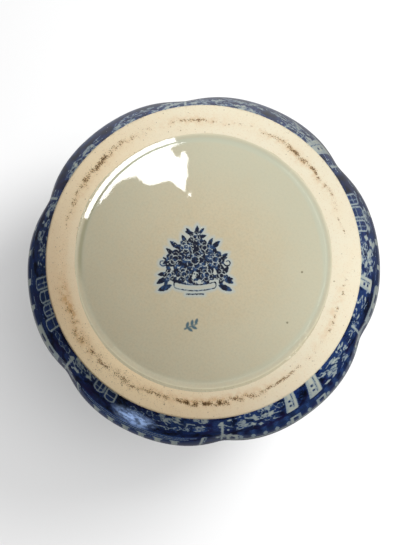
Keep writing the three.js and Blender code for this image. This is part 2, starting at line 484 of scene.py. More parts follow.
def vesica(half_length: float, half_width: float, angle: float) -> Shape:
    """A leaf with two pointed ends, lying at an angle in degrees.

    Args:
        half_length: half the length.
        half_width: half the width.
        angle: how it lies, in degrees.

    Returns:
        The shape.
    """
    radius = (half_length**2 + half_width**2) / (2 * half_width)
    inset = radius - half_width
    cosine, sine = math.cos(math.radians(angle)), math.sin(math.radians(angle))

    def distance(x: Array, y: Array) -> Array:
        """Gives each point's distance to the shape's edge, negative inside."""
        lengthwise = x * cosine + y * sine
        sideways = np.abs(y * cosine - x * sine)
        return np.hypot(lengthwise, sideways + inset) - radius

    return distance


def stroke(end: Pair, start_width: float, end_width: float) -> Shape:
    """A tapering brush stroke from the shape's origin to its end.

    Args:
        end: where it ends.
        start_width: its width at the origin.
        end_width: its width at the end.

    Returns:
        The shape.
    """
    length = math.hypot(*end)

    def distance(x: Array, y: Array) -> Array:
        """Gives each point's distance to the shape's edge, negative inside."""
        share = np.clip((x * end[0] + y * end[1]) / length**2, 0.0, 1.0)
        width = between(start_width, end_width, share)
        return np.hypot(x - end[0] * share, y - end[1] * share) - width / 2

    return distance


def arch(half_width: float, height: float) -> Shape:
    """A round-headed opening that stands on the shape's origin.

    Args:
        half_width: half the width.
        height: the whole height.

    Returns:
        The shape.
    """
    middle = (height - half_width) / 2
    body, head = block(half_width, middle), disc(half_width)
    return lambda x, y: np.minimum(body(x, y - middle), head(x, y - height + half_width))


def gable(half_width: float, height: float) -> Shape:
    """A triangle that stands on the shape's origin.

    Args:
        half_width: half the width.
        height: the whole height.

    Returns:
        The shape.
    """
    length = math.hypot(half_width, height)

    def distance(x: Array, y: Array) -> Array:
        """Gives each point's distance to the shape's edge, negative inside."""
        side = (np.abs(x) * height + (y - height) * half_width) / length
        return np.maximum(side, -y)

    return distance


def scroll(radius: float, turns: float, width: float, hand: int, start: float = 0.0) -> Shape:
    """A spiral line that winds in from its radius.

    Args:
        radius: the outer radius.
        turns: how many turns it makes.
        width: the line's width at its outer end.
        hand: 1 or -1, the way it winds.
        start: the direction of its outer end, in degrees.

    Returns:
        The shape.
    """
    pitch = radius / (turns + 0.35)

    def distance(x: Array, y: Array) -> Array:
        """Gives each point's distance to the shape's edge, negative inside."""
        out = np.hypot(x, y)
        turned_by = np.mod(hand * (np.arctan2(y, x) - math.radians(start)) / (2 * math.pi), 1.0)
        best = np.full(out.shape, FAR_FROM_PRINT)
        for turn in range(int(math.ceil(turns)) + 1):
            along = turned_by + turn
            line = radius - pitch * along
            thickness = width * (1.0 - 0.5 * np.clip(along / turns, 0.0, 1.0))
            here = np.abs(out - line) - thickness / 2
            best = np.where(along <= turns, np.minimum(best, here), best)
        return best

    return distance


def outlined(shape: Shape, width: float) -> Shape:
    """A line of some width along another shape's edge."""
    return lambda x, y: np.abs(shape(x, y)) - width / 2


def blossom(radius: float, petals: int, turn: float) -> Shape:
    """A flower's outline with round petals, turned by an angle in degrees.

    Args:
        radius: the radius.
        petals: how many petals it has.
        turn: the angle of the first petal.

    Returns:
        The shape.
    """

    def distance(x: Array, y: Array) -> Array:
        """Gives each point's distance to the shape's edge, negative inside."""
        angle = np.arctan2(y, x) - math.radians(turn)
        return np.hypot(x, y) - radius * (0.66 + 0.34 * np.abs(np.cos(petals * angle / 2)))

    return distance


class Ink(Enum):
    """What a drawn shape does to the print."""

    BARE = "leaves the pale clay bare under the glaze"
    BLUE = "lays full cobalt over what was left bare"
    TONE = "sets the strength of the half tone"


class Stencil:
    """The print on a set of points, given by flat coordinates in millimetres."""

    margin: float = 2.0

    def __init__(self, across: Array, up: Array, ground: float = FAR_FROM_PRINT) -> None:
        """Starts with plain cobalt, or with bare clay where the ground is negative.

        Args:
            across: how far across each point lies.
            up: how far up it lies.
            ground: the edge distance to start with.
        """
        self.across = across
        self.up = up
        self.edge = np.full(across.shape, ground)
        self.wash = np.zeros(across.shape)

    def draw(self, ink: Ink, x: float, y: float, reach: float, shape: Shape, strength: float = 1.0) -> None:
        """Draws one shape.

        Args:
            ink: what the shape does.
            x: where the shape's origin lies, across.
            y: where the shape's origin lies, up.
            reach: how far the shape extends from its origin.
            shape: the shape.
            strength: the half tone that it sets, if it does.
        """
        reach += self.margin
        near = np.flatnonzero((np.abs(self.across - x) < reach) & (np.abs(self.up - y) < reach))
        if near.size == 0:
            return
        distance = shape(self.across[near] - x, self.up[near] - y)
        if ink is Ink.BARE:
            self.edge[near] = np.minimum(self.edge[near], distance)
        elif ink is Ink.BLUE:
            self.edge[near] = np.maximum(self.edge[near], -distance)
        else:
            self.wash[near] = between(self.wash[near], strength, smoothstep(-distance, -1.0, 1.0))

    def bare(self, *place_and_shape: Any) -> None:
        """Leaves a shape bare: x, y, reach and the shape itself."""
        self.draw(Ink.BARE, *place_and_shape)

    def blue(self, *place_and_shape: Any) -> None:
        """Lays cobalt in a shape: x, y, reach and the shape itself."""
        self.draw(Ink.BLUE, *place_and_shape)

    def tone(self, *place_and_shape: Any) -> None:
        """Sets a half tone in a shape: x, y, reach, the shape itself and the strength."""
        self.draw(Ink.TONE, *place_and_shape)


class Scenery(Stencil):
    """Generic garden and river scenes, one for each lobe, and the borders above them."""

    def __init__(self, chance: np.random.Generator, across: Array, up: Array) -> None:
        """Takes the points and the random hand that sets leaves, clouds and water."""
        super().__init__(across, up)
        self.chance = chance

    def pick(self, low: float, high: float) -> float:
        """Draws a random number between two."""
        return self.chance.uniform(low, high)

    def leaves(self, x: float, y: float, spread: float, count: int, size: float) -> None:
        """Draws a lacy clump of pale leaves on a half tone.

        Args:
            x: the middle, across.
            y: the middle, up.
            spread: the clump's radius.
            count: how many leaves.
            size: half a leaf's length.
        """
        self.tone(x, y, spread, disc(spread), self.pick(0.25, 0.55))
        for index in range(count):
            angle = 137.5 * index + self.pick(-20, 20)
            leaf_x, leaf_y = polar(spread * math.sqrt((index + 0.5) / count), angle)
            length = size * self.pick(0.7, 1.2)
            lean = angle + self.pick(-50, 50)
            self.bare(x + leaf_x, y + leaf_y, length, vesica(length, length * 0.38, lean))

    def grove(self, x: float, half_width: float, low: float, high: float) -> None:
        """Draws ragged small foliage with twigs, as pale lace on blue.

        Args:
            x: the middle, across.
            half_width: half the width.
            low: the lower edge.
            high: the upper edge.
        """
        self.tone(x, (low + high) / 2, half_width, block(half_width, (high - low) / 2, 2), 0.5)
        for _ in range(int(half_width * (high - low) / 7)):
            leaf_x = x + self.pick(-half_width, half_width)
            leaf_y = self.pick(low, high)
            size = self.pick(0.8, 1.9)
            self.bare(leaf_x, leaf_y, size, vesica(size, size * 0.5, self.pick(0, 180)))
        for _ in range(int(half_width / 2.2)):
            twig_x = x + self.pick(-half_width, half_width)
            end = (self.pick(-6, 6), self.pick(-2, 5))
            self.bare(twig_x, self.pick(low, high), 8, stroke(end, 0.8, 0.5))

    def lace(self, x: float, half_width: float, low: float, high: float) -> None:
        """Draws loose curls, leaves and twigs, pale on mottled blue, with calm blue between.

        Args:
            x: the middle, across.
            half_width: half the width.
            low: the lower edge.
            high: the upper edge.
        """
        area = 2 * half_width * (high - low)
        for index in range(int(area / 14)):
            place = (x + self.pick(-half_width, half_width), self.pick(low, high))
            turn = self.pick(0, 360)
            size = self.pick(1.6, 3.6)
            self.tone(*place, 5, blossom(size * 1.2, 4, turn), self.pick(0.2, 0.8))
            if index % 3 == 0:
                self.bare(*place, 5, scroll(size, 1.1, 0.9, 1 - index % 2 * 2, turn))
            elif index % 3 == 1:
                end = (1.6 * size * math.cos(turn), 1.2 * size * math.sin(turn))
                self.bare(*place, 8, stroke(end, 1.1, 0.5))
            else:
                self.bare(*place, size, vesica(size, size * 0.4, turn))
                self.bare(*place, size, vesica(size * 0.8, size * 0.3, turn + 70))

    def arcade(self, x: float, count: int, foot: float, height: float) -> None:
        """Draws broad framed openings side by side, each barred and with a blue middle.

        Args:
            x: the middle, across.
            count: how many there are.
            foot: how high up it starts.
            height: the whole height.
        """
        for index in range(count):
            place = x + (index - (count - 1) / 2) * 8.6
            lift = foot + self.pick(-1.2, 1.2)
            frame = arch(3.3, height + self.pick(-2, 2))
            self.tone(place, lift, height, frame, 0.55)
            self.bare(place, lift, height, outlined(frame, 1.1))
            if index % 2 == 0:
                self.bare(place + 0.4, lift, height, stroke((0, height * 0.9), 0.8, 0.6))
            rung = self.pick(0.25, 0.6)
            self.bare(place, lift + height * rung, 4, block(3.0, 0.4))
            self.bare(place, lift - 1.6, 6, block(4.0, 0.5))

    def pier(self, x: float, foot: float, height: float, half_width: float) -> None:
        """Draws a broad pale pier with a thin line down its side and two small dark openings.

        Args:
            x: where the foot stands, across.
            foot: how high up it starts.
            height: the whole height.
            half_width: half the width.
        """
        self.bare(x, foot, height, stroke((half_width * 0.6, height), half_width * 2, half_width * 2.4))
        self.blue(x - half_width * 0.45, foot - 2, height, stroke((half_width * 0.6, height), 0.5, 0.5))
        self.tone(x + half_width * 0.7, foot, height, stroke((half_width, height), 1.6, 2.0), 0.8)
        for rise in (0.45, 0.72):
            self.blue(x + half_width * (0.35 + 0.4 * rise), foot + height * rise, 3, block(0.8, 1.2, 0.3))

    def rocks(self, x: float, y: float, count: int) -> None:
        """Draws rounded rocks as pale lines round blue.

        Args:
            x: the middle, across.
            y: the middle, up.
            count: how many there are.
        """
        for index in range(count):
            place = x + 5.2 * (index - (count - 1) / 2)
            size = self.pick(1.8, 3.4)
            height = y + self.pick(-2.5, 2.5)
            stone = blossom(size, int(self.chance.integers(3, 6)), self.pick(0, 90))
            self.tone(place, height, size, stone, 0.6)
            self.bare(place, height, size, outlined(stone, 0.55))

    def bank(self, lobe: int) -> None:
        """Draws the dark ground below the scene, with other things on each lobe.

        Args:
            lobe: the lobe's number.
        """
        for _ in range(12):
            place = (self.pick(-50, 50), self.pick(2, 24))
            self.tone(*place, 9, blossom(self.pick(3, 7), 3, 0), self.pick(0.1, 0.4))
        lace, rocks, grove, pier, arcade = self.lace, self.rocks, self.grove, self.pier, self.arcade
        left_side = ((lace, -26, 22, 1, 20), (rocks, -12, 9, 3))
        plain_bank = (*left_side, (grove, 20, 14, 2, 15), (lace, 24, 12, 1, 14))
        busy_bank = ((arcade, -20, 3, 3, 15), (rocks, 6, 8, 3), (pier, 23, 1, 18, 3.4), (grove, 38, 9, 2, 17))
        pier_bank = ((grove, -30, 12, 2, 16), (pier, -10, 1, 21, 4.0), (pier, 7, 1, 19, 3.4))
        plans = (
            (*plain_bank, (pier, 35, 1, 24, 5.0), (lace, 6, 38, 17, 27)),
            (*busy_bank, (lace, 8, 12, 1, 20), (lace, -14, 26, 19, 27)),
            (*pier_bank, (rocks, 20, 9, 3), (lace, 32, 13, 1, 20), (lace, -28, 12, 8, 24)),
            ((lace, 28, 14, 1, 18), (rocks, 4, 8, 4), (arcade, -24, 2, 3, 13), (lace, -42, 8, 1, 18)),
            ((lace, -36, 14, 1, 18), (arcade, 14, 4, 3, 15), (grove, -12, 8, 3, 15), (rocks, 40, 9, 3)),
            plain_bank,
        )
        for draw, *numbers in plans[lobe]:
            draw(*numbers)

    def tree(self, x: float, foot: float, height: float, spread: float) -> None:
        """Draws a tree with a forked trunk and a crown of leaf clumps.

        Args:
            x: the middle, across.
            foot: how high up it starts.
            height: the whole height.
            spread: the crown's radius.
        """
        lean = self.pick(-4, 4)
        fork = height * 0.62
        self.bare(x, foot, height, stroke((lean, fork), 3.4, 2.0))
        self.blue(x + 0.5, foot, height, stroke((lean + 0.3, fork), 0.9, 0.7))
        for side in (-1, 1):
            branch = (side * spread * 0.55, height * 0.3)
            self.bare(x + lean, foot + fork, height, stroke(branch, 1.8, 0.9))
        clumps = 7
        for index in range(clumps):
            angle = 2 * math.pi * index / clumps + 0.3
            away = 0.0 if index == 0 else spread * 0.62
            clump_x = x + lean + away * math.cos(angle)
            clump_y = foot + height - spread * 0.45 + away * 0.7 * math.sin(angle)
            self.leaves(clump_x, clump_y, spread * 0.42, 15, 2.5)

    def cypress(self, x: float, foot: float, height: float, half_width: float) -> None:
        """Draws a tall narrow tree with feathered sides.

        Args:
            x: the middle, across.
            foot: how high up it starts.
            height: the whole height.
            half_width: half the width.
        """
        self.tone(x, foot + height / 2, height, vesica(height / 2, half_width, 90), 0.5)
        rows = int(height / 3.2)
        for row in range(rows):
            share = (row + 0.5) / rows
            width = half_width * math.sin(math.pi * min(share * 0.8 + 0.16, 1.0))
            for side in (-1, 1):
                leaf_x = x + side * width * 0.5
                self.bare(leaf_x, foot + height * share, 5, vesica(width * 0.55, 0.75, side * 42))

    def clouds(self, low: float, high: float, half_width: float, count: int) -> None:
        """Draws long flat clouds, each a few rounded strokes.

        Args:
            low: the lower edge.
            high: the upper edge.
            half_width: half the width.
            count: how many there are.
        """
        for _ in range(count):
            x = self.pick(-half_width, half_width)
            y = self.pick(low, high)
            for part in range(4):
                length = self.pick(5, 11)
                start_x = x + part * self.pick(-4, 5)
                self.bare(start_x, y + part * 1.9, length, stroke((length, 0.3), 1.7, 1.0))

    def water(self, low: float, high: float, half_width: float) -> None:
        """Draws broken ripples between two heights.

        Args:
            low: the lower edge.
            high: the upper edge.
            half_width: half the width.
        """
        y = low
        while y < high:
            x = -half_width + self.pick(0, 8)
            while x < half_width:
                length = self.pick(5, 15)
                self.bare(x, y, length, stroke((length, self.pick(-0.4, 0.4)), 0.9, 0.5))
                x += length + self.pick(3, 9)
            y += 3.2

    def hills(self, base: float) -> None:
        """Draws soft hills behind the buildings."""
        for x, radius in ((-30, 26), (4, 32), (36, 24)):
            self.tone(x, base - radius * 0.45, radius, disc(radius), 0.42)

    def column(self, x: float, foot: float, height: float, half_width: float) -> None:
        """Draws a pillar with a base, a capital and a shaded side.

        Args:
            x: the middle, across.
            foot: how high up it starts.
            height: the whole height.
            half_width: half the width.
        """
        self.bare(x, foot + height / 2, height, block(half_width, height / 2))
        for y in (foot + 1.2, foot + height - 1.2):
            self.bare(x, y, half_width * 2, block(half_width * 1.6, 1.2, 0.4))
        self.tone(x + half_width * 0.5, foot + height / 2, height, block(half_width * 0.4, height / 2), 0.8)

    def windows(self, x: float, foot: float, count: int, pitch: float, height: float) -> None:
        """Draws a row of round-headed windows cut from a pale wall.

        Args:
            x: the middle, across.
            foot: how high up it starts.
            count: how many there are.
            pitch: how far apart they stand.
            height: the whole height.
        """
        for index in range(count):
            place = x + (index - (count - 1) / 2) * pitch
            self.blue(place, foot, height, arch(pitch * 0.29, height))
            self.tone(place, foot, height, arch(pitch * 0.29, height), 0.3)

    def pavilion(self) -> None:
        """Draws a domed summerhouse on steps, between two trees."""
        self.hills(48)
        for step in range(3):
            self.tone(0, 6.5 + 3.4 * step, 40, block(37 - 5 * step, 1.5, 0.3), 0.9)
            self.bare(0, 7.9 + 3.4 * step, 40, block(37 - 5 * step, 0.4, 0.3))
        for index in range(6):
            self.column(-24 + 9.6 * index, 16, 26, 1.75)
        for index in range(5):
            self.tone(-19.2 + 9.6 * index, 16, 24, arch(2.8, 22), 0.62)
        self.bare(0, 44.5, 30, block(28, 1.9))
        self.blue(0, 44.3, 30, block(27, 0.5))
        self.bare(0, 51, 24, block(19, 4.4))
        self.windows(0, 48, 5, 7.2, 6.4)
        self.bare(0, 57, 24, block(22, 1.2))
        dome = disc(15)
        self.bare(0, 58, 16, lambda x, y: np.maximum(dome(x, y), -y))
        for lean in (-9, -3, 3, 9):
            self.blue(lean * 0.9, 58.5, 16, stroke((-lean * 0.55, 13), 1.1, 0.6))
        self.bare(0, 72, 8, stroke((0, 8), 2.0, 0.8))
        self.tree(-40, 8, 56, 17)
        self.tree(41, 8, 50, 16)
        self.clouds(74, 86, 36, 5)

    def bridge(self) -> None:
        """Draws an arched bridge over a river, with a tower on its bank."""
        self.hills(42)
        self.water(5, 14, 46)
        self.bare(-12, 17.5, 44, block(38, 9.5))
        for x, half_width in ((-40, 5.0), (-26.5, 5.6), (-11, 6.6), (5, 5.6), (18, 4.6)):
            self.blue(x, 6, 24, arch(half_width, 11 + half_width))
            self.tone(x, 6, 24, arch(half_width, 11 + half_width), 0.45)
        self.bare(-12, 28.6, 44, block(40, 1.3))
        self.blue(-12, 26.4, 44, block(38, 0.45))
        for index in range(13):
            self.bare(-48 + 6 * index, 29, 6, stroke((0, 5), 1.5, 1.2))
        self.bare(-12, 35, 44, block(38, 0.75))
        self.bare(34, 38, 32, block(10.5, 32))
        self.tone(40, 38, 34, block(4, 32), 0.75)
        for level in range(4):
            self.windows(34, 12 + 15 * level, 2, 8.2, 9)
            self.blue(34, 24.5 + 15 * level, 12, block(10, 0.5))
        self.bare(34, 71, 14, block(12.5, 1.5))
        self.bare(34, 72, 20, gable(11.5, 18))
        self.tone(38, 72, 20, gable(6, 12), 0.7)
        self.tree(-30, 34, 46, 17)
        self.leaves(4, 44, 8, 26, 2.3)
        self.clouds(74, 88, 34, 6)

    def garden(self) -> None:
        """Draws a balustrade with an urn of flowers, between narrow trees."""
        self.hills(46)
        for y, half_height in ((26, 1.6), (29.4, 0.8)):
            self.bare(0, y, 52, block(50, half_height))
        for index in range(13):
            x = -42 + 7 * index
            self.tone(x, 13, 12, block(1.5, 10.5, 0.5), 0.9)
            self.bare(x, 18.5, 7, vesica(6, 1.3, 90))
        for x in (-47, -9, 9, 47):
            self.bare(x, 19, 12, block(3.4, 9.5))
            self.blue(x, 19, 10, block(1.5, 6))
        self.bare(0, 33.5, 12, block(8, 3.4, 0.5))
        self.bare(0, 37, 12, stroke((0, 6), 8, 3))
        self.bare(0, 49, 14, vesica(9.5, 6.8, 0))
        self.bare(0, 51.5, 14, block(9.5, 1.3, 0.6))
        self.tone(4, 47.5, 10, vesica(5, 3.4, 30), 0.8)
        for index in range(7):
            x, rise = polar(11, 180 * (index + 0.5) / 7)
            self.leaves(x, 56 + rise, 4.5, 9, 2.2)
            self.bare(x * 0.8, 56 + rise * 0.75, 5, blossom(3.9, 5, 40 * index))
            self.blue(x * 0.8, 56 + rise * 0.75, 3, disc(1.0))
        for x in (-31, 31):
            self.cypress(x, 31, 50, 7)
        for x in (-43, 43):
            self.leaves(x, 40, 7.5, 24, 2.4)
        self.clouds(76, 88, 34, 5)

    def thicket(self) -> None:
        """Draws the leafy growth that fills a groove between two scenes."""
        self.grove(0, 6, 5, 20)
        self.leaves(-2, 36, 6.5, 18, 2.4)
        self.leaves(1, 72, 7.5, 22, 2.6)
        self.leaves(0, 99, 7, 22, 2.4)
        self.bare(0, 8, 40, stroke((1.5, 50), 1.6, 1.2))

    def bead_band(self, y: float, half_width: float, pitch: float) -> None:
        """Draws a row of beads between two lines.

        Args:
            y: the middle, up.
            half_width: half the width.
            pitch: about how far apart the beads lie.
        """
        for offset in (-4.2, 4.2):
            self.bare(0, y + offset, half_width, block(half_width, 0.6))
        count = int(round(2 * half_width / pitch))
        for index in range(count):
            x = -half_width + (index + 0.5) * 2 * half_width / count
            self.bare(x, y, 3, blossom(2.3, 4, 45))
            self.blue(x, y, 2, disc(0.7))

    def shoulder(self, low: float, high: float, half_width: float) -> None:
        """Draws a flower framed by scrolls over a diaper of small lozenges.

        Args:
            low: the lower edge.
            high: the upper edge.
            half_width: half the width.
        """
        middle = (low + high) / 2
        self.lattice(0, low + 7, half_width, 7)
        self.blue(0, middle + 2, 30, vesica(29, 17, 0))
        self.tone(0, middle + 2, 30, vesica(27, 15, 0), 0.35)
        self.flower(0, middle + 2, 10)
        for side in (-1, 1):
            hand_start = 200 if side > 0 else -20
            self.bare(side * 22, middle - 2, 10, scroll(8.5, 1.6, 2.4, -side, hand_start))
            self.bare(side * 33, middle + 9, 8, scroll(6, 1.4, 1.9, side, 90))
            for angle, length in ((25, 6.5), (60, 6.0), (100, 5.0)):
                lean = angle if side > 0 else 180 - angle
                self.bare(side * (13 + length), middle + 13, 8, vesica(length, 2.0, lean))
            self.leaves(side * (half_width - 5), middle - 8, 5, 12, 2.3)

    def lattice(self, x: float, y: float, half_width: float, half_height: float) -> None:
        """Draws a lattice of crossing lines with a dot in each opening.

        Args:
            x: the middle, across.
            y: the middle, up.
            half_width: half the width.
            half_height: half the height.
        """
        pitch = 6.0
        inside = block(half_width, half_height)

        def lines(across: Array, up: Array) -> Array:
            """Gives each point's distance to the lines and dots, negative in them."""
            rising = np.abs(np.mod(across + up, pitch) - pitch / 2)
            falling = np.abs(np.mod(across - up, pitch) - pitch / 2)
            crossing = (pitch / 2 - np.maximum(rising, falling)) * 0.7071 - 0.38
            dots = np.hypot(rising, falling) - 0.8
            return np.maximum(np.minimum(crossing, dots), inside(across, up))

        self.bare(x, y, max(half_width, half_height), lines)

    def flower(self, x: float, y: float, radius: float) -> None:
        """Draws a full-blown flower with veined petals.

        Args:
            x: the middle, across.
            y: the middle, up.
            radius: the radius.
        """
        self.bare(x, y, radius, blossom(radius, 6, 15))
        for index in range(6):
            end = polar(0.45 * radius, 60 * index + 15)
            vein = stroke(end, radius * 0.11, radius * 0.05)
            self.blue(x + 0.8 * end[0], y + 0.8 * end[1], radius, vein)
        self.blue(x, y, radius, hoop(radius * 0.3, radius * 0.12))

    def spray(self, low: float, high: float) -> None:
        """Draws an upright flower spray for one side of the neck.

        Args:
            low: the lower edge.
            high: the upper edge.
        """
        height = high - low
        self.tone(0, (low + high) / 2, height, vesica(height * 0.52, 17, 90), 0.3)
        self.bare(0, low, height, stroke((0, height * 0.92), 1.8, 0.9))
        for index in range(6):
            y = low + 5 + index * height * 0.145
            length = 9.5 - index * 0.9
            for side in (-1, 1):
                lean = 32 if side > 0 else 148
                reach_x = side * length * 0.85
                self.bare(reach_x, y + length * 0.55, length, vesica(length, 2.7, lean))
                vein = (side * length * 0.7, length * 0.42)
                self.blue(reach_x - vein[0] * 0.5, y + length * 0.35, length, stroke(vein, 0.8, 0.5))
        self.flower(0, low + height * 0.56, 9)
        self.bare(0, high - 3, 6, blossom(4.6, 5, 90))
        self.blue(0, high - 3, 3, disc(1.2))

    def rim_border(self, low: float, high: float, half_width: float) -> None:
        """Draws scrolls and a flower under the lip, with leaf tips at the grooves.

        Args:
            low: the lower edge.
            high: the upper edge.
            half_width: half the width.
        """
        middle = (low + high) / 2
        self.flower(0, middle, 8)
        for side in (-1, 1):
            self.bare(side * 17.5, middle - 1, 9, scroll(7.6, 1.6, 2.2, side, 90))
            self.bare(side * 28, middle + 5, 7, scroll(4.6, 1.3, 1.7, -side, -90))
            for index, angle in enumerate((20, 55, 95)):
                lean = angle if side > 0 else 180 - angle
                self.bare(side * (10 + 3 * index), middle - 10 + index, 6, vesica(4.8, 1.6, lean))
            self.bare(side * half_width, middle - 3, 14, vesica(11, 3.4, 90))
        self.bare(0, high - 1.5, half_width, block(half_width, 0.6))
        self.bare(0, low + 0.5, half_width, block(half_width, 0.5))


@dataclass(frozen=True)
class TransferPrint:
    """The blue print all over the outside, in bands along the wall from the foot, and in the mouth."""

    bank_height: float = 23.0
    scene_top: float = 112.0
    bead_line: float = 118.0
    shoulder_low: float = 124.0
    shoulder_high: float = 176.0
    collar_line: float = 182.0
    neck_low: float = 189.0
    neck_high: float = 248.0
    throat_line: float = 254.0
    rim_low: float = 260.0
    rim_high: float = 297.0
    belly_measure: float = 99.4
    shoulder_measure: float = 80.0
    neck_measure: float = 54.0
    rim_measure: float = 72.0
    inner_border: float = 20.0
    groove_half_width: float = 0.2

    def paint(self, angle: Array, height: Array, outside: Array) -> Arrays:
        """Works out the print on the wall's vertices.

        Args:
            angle: each vertex's direction about the axis, in radians.
            height: each vertex's height before the rim was scalloped.
            outside: True for the vertices of the outer face.

        Returns:
            The distance to the reserved clay, negative in it, and the half tone.
        """
        edge = np.full(angle.shape, -FAR_FROM_PRINT)
        wash = np.zeros(angle.shape)
        width = 2 * math.pi / BODY.lobe_count
        off, groove_off = BODY.from_crest(angle), BODY.from_crest(angle + width / 2)
        lobe = np.mod(np.round((angle - off + math.pi / 2) / width), BODY.lobe_count)
        groove = np.mod(np.round((angle + width / 2 - groove_off) / width), BODY.lobe_count)
        up = BODY.along(height)
        for index in range(BODY.lobe_count):
            mine = np.flatnonzero(outside & (lobe == index))
            edge[mine], wash[mine] = self.lobe_print(index, off[mine], up[mine])
        leafy = outside & (np.abs(groove_off) < self.groove_half_width) & (up < self.scene_top)
        for index in range(BODY.lobe_count):
            mine = np.flatnonzero(leafy & (groove == index))
            chance = np.random.default_rng(50 + index)
            hand = Scenery(chance, groove_off[mine] * self.belly_measure, up[mine])
            hand.edge, hand.wash = edge[mine], wash[mine]
            hand.thicket()
            edge[mine], wash[mine] = hand.edge, hand.wash
        mouth = np.flatnonzero(~outside & (height > BODY.rim_height - self.inner_border - 6))
        edge[mouth], wash[mouth] = self.inner_print(off[mouth], BODY.rim_height - height[mouth])
        return np.clip(edge, -FAR_FROM_PRINT, FAR_FROM_PRINT), wash

    def lobe_print(self, index: int, off: Array, up: Array) -> Arrays:
        """Draws one lobe from foot to rim, band by band.

        Args:
            index: the lobe's number.
            off: each vertex's angle from the lobe's crest.
            up: how far along the wall from the foot it lies.

        Returns:
            The distance to the reserved clay and the half tone.
        """
        half = math.pi / BODY.lobe_count
        chance = np.random.default_rng(7 + index)
        mirrored = -1.0 if index >= BODY.lobe_count / 2 else 1.0
        edge = np.full(off.shape, FAR_FROM_PRINT)
        wash = np.zeros(off.shape)

        def belly(hand: Scenery) -> None:
            """Draws the scene, the ground below it and the beads above it.

            Args:
                hand: the stencil to draw on.
            """
            hand.up = hand.up - self.bank_height
            (hand.pavilion, hand.bridge, hand.garden)[index % 3]()
            hand.up = hand.up + self.bank_height
            hand.bank(index)
            hand.bead_band(self.bead_line, half * self.belly_measure, 7.4)

        def shoulder(hand: Scenery) -> None:
            """Draws the shoulder's border."""
            hand.shoulder(self.shoulder_low, self.shoulder_high, half * self.shoulder_measure)

        def neck(hand: Scenery) -> None:
            """Draws the neck's spray between its two bead bands."""
            hand.bead_band(self.collar_line, half * self.neck_measure, 6.4)
            hand.spray(self.neck_low, self.neck_high)
            hand.bead_band(self.throat_line, half * self.neck_measure, 6.4)

        def rim(hand: Scenery) -> None:
            """Draws the border under the lip."""
            hand.rim_border(self.rim_low, self.rim_high, half * self.rim_measure)

        stages = (
            (0.0, self.shoulder_low - 1, self.belly_measure, belly),
            (self.shoulder_low - 1, self.shoulder_high, self.shoulder_measure, shoulder),
            (self.shoulder_high, self.rim_low - 1, self.neck_measure, neck),
            (self.rim_low - 1, self.rim_high + 20, self.rim_measure, rim),
        )
        for low, high, measure, draw in stages:
            mine = np.flatnonzero((up >= low) & (up < high))
            if mine.size:
                hand = Scenery(chance, mirrored * off[mine] * measure, up[mine])
                draw(hand)
                edge[mine], wash[mine] = hand.edge, hand.wash
        return edge, wash

    def inner_print(self, off: Array, down: Array) -> Arrays:
        """Draws the narrow border inside the mouth, blue on the pale ground.

        Args:
            off: each vertex's angle from a lobe's crest.
            down: how far below the lip it lies.

        Returns:
            The distance to the reserved clay and the half tone.
        """
        half_width = math.pi / BODY.lobe_count * self.rim_measure
        stencil = Stencil(off * self.rim_measure, down, ground=-FAR_FROM_PRINT)
        stencil.blue(0, 2.5, half_width, block(half_width, 2.0))
        stencil.blue(0, self.inner_border, half_width, block(half_width, 0.8))
        for index in range(4):
            x = (index - 1.5) * half_width / 2
            stencil.blue(x, 11, 6, blossom(4.6, 6, 0))
            stencil.bare(x, 11, 3, hoop(1.6, 0.9))
            for lean in (38, -38):
                stencil.blue(x + half_width / 4, 11, 8, vesica(5.4, 1.7, lean))
        return stencil.edge, stencil.wash


# Finishes


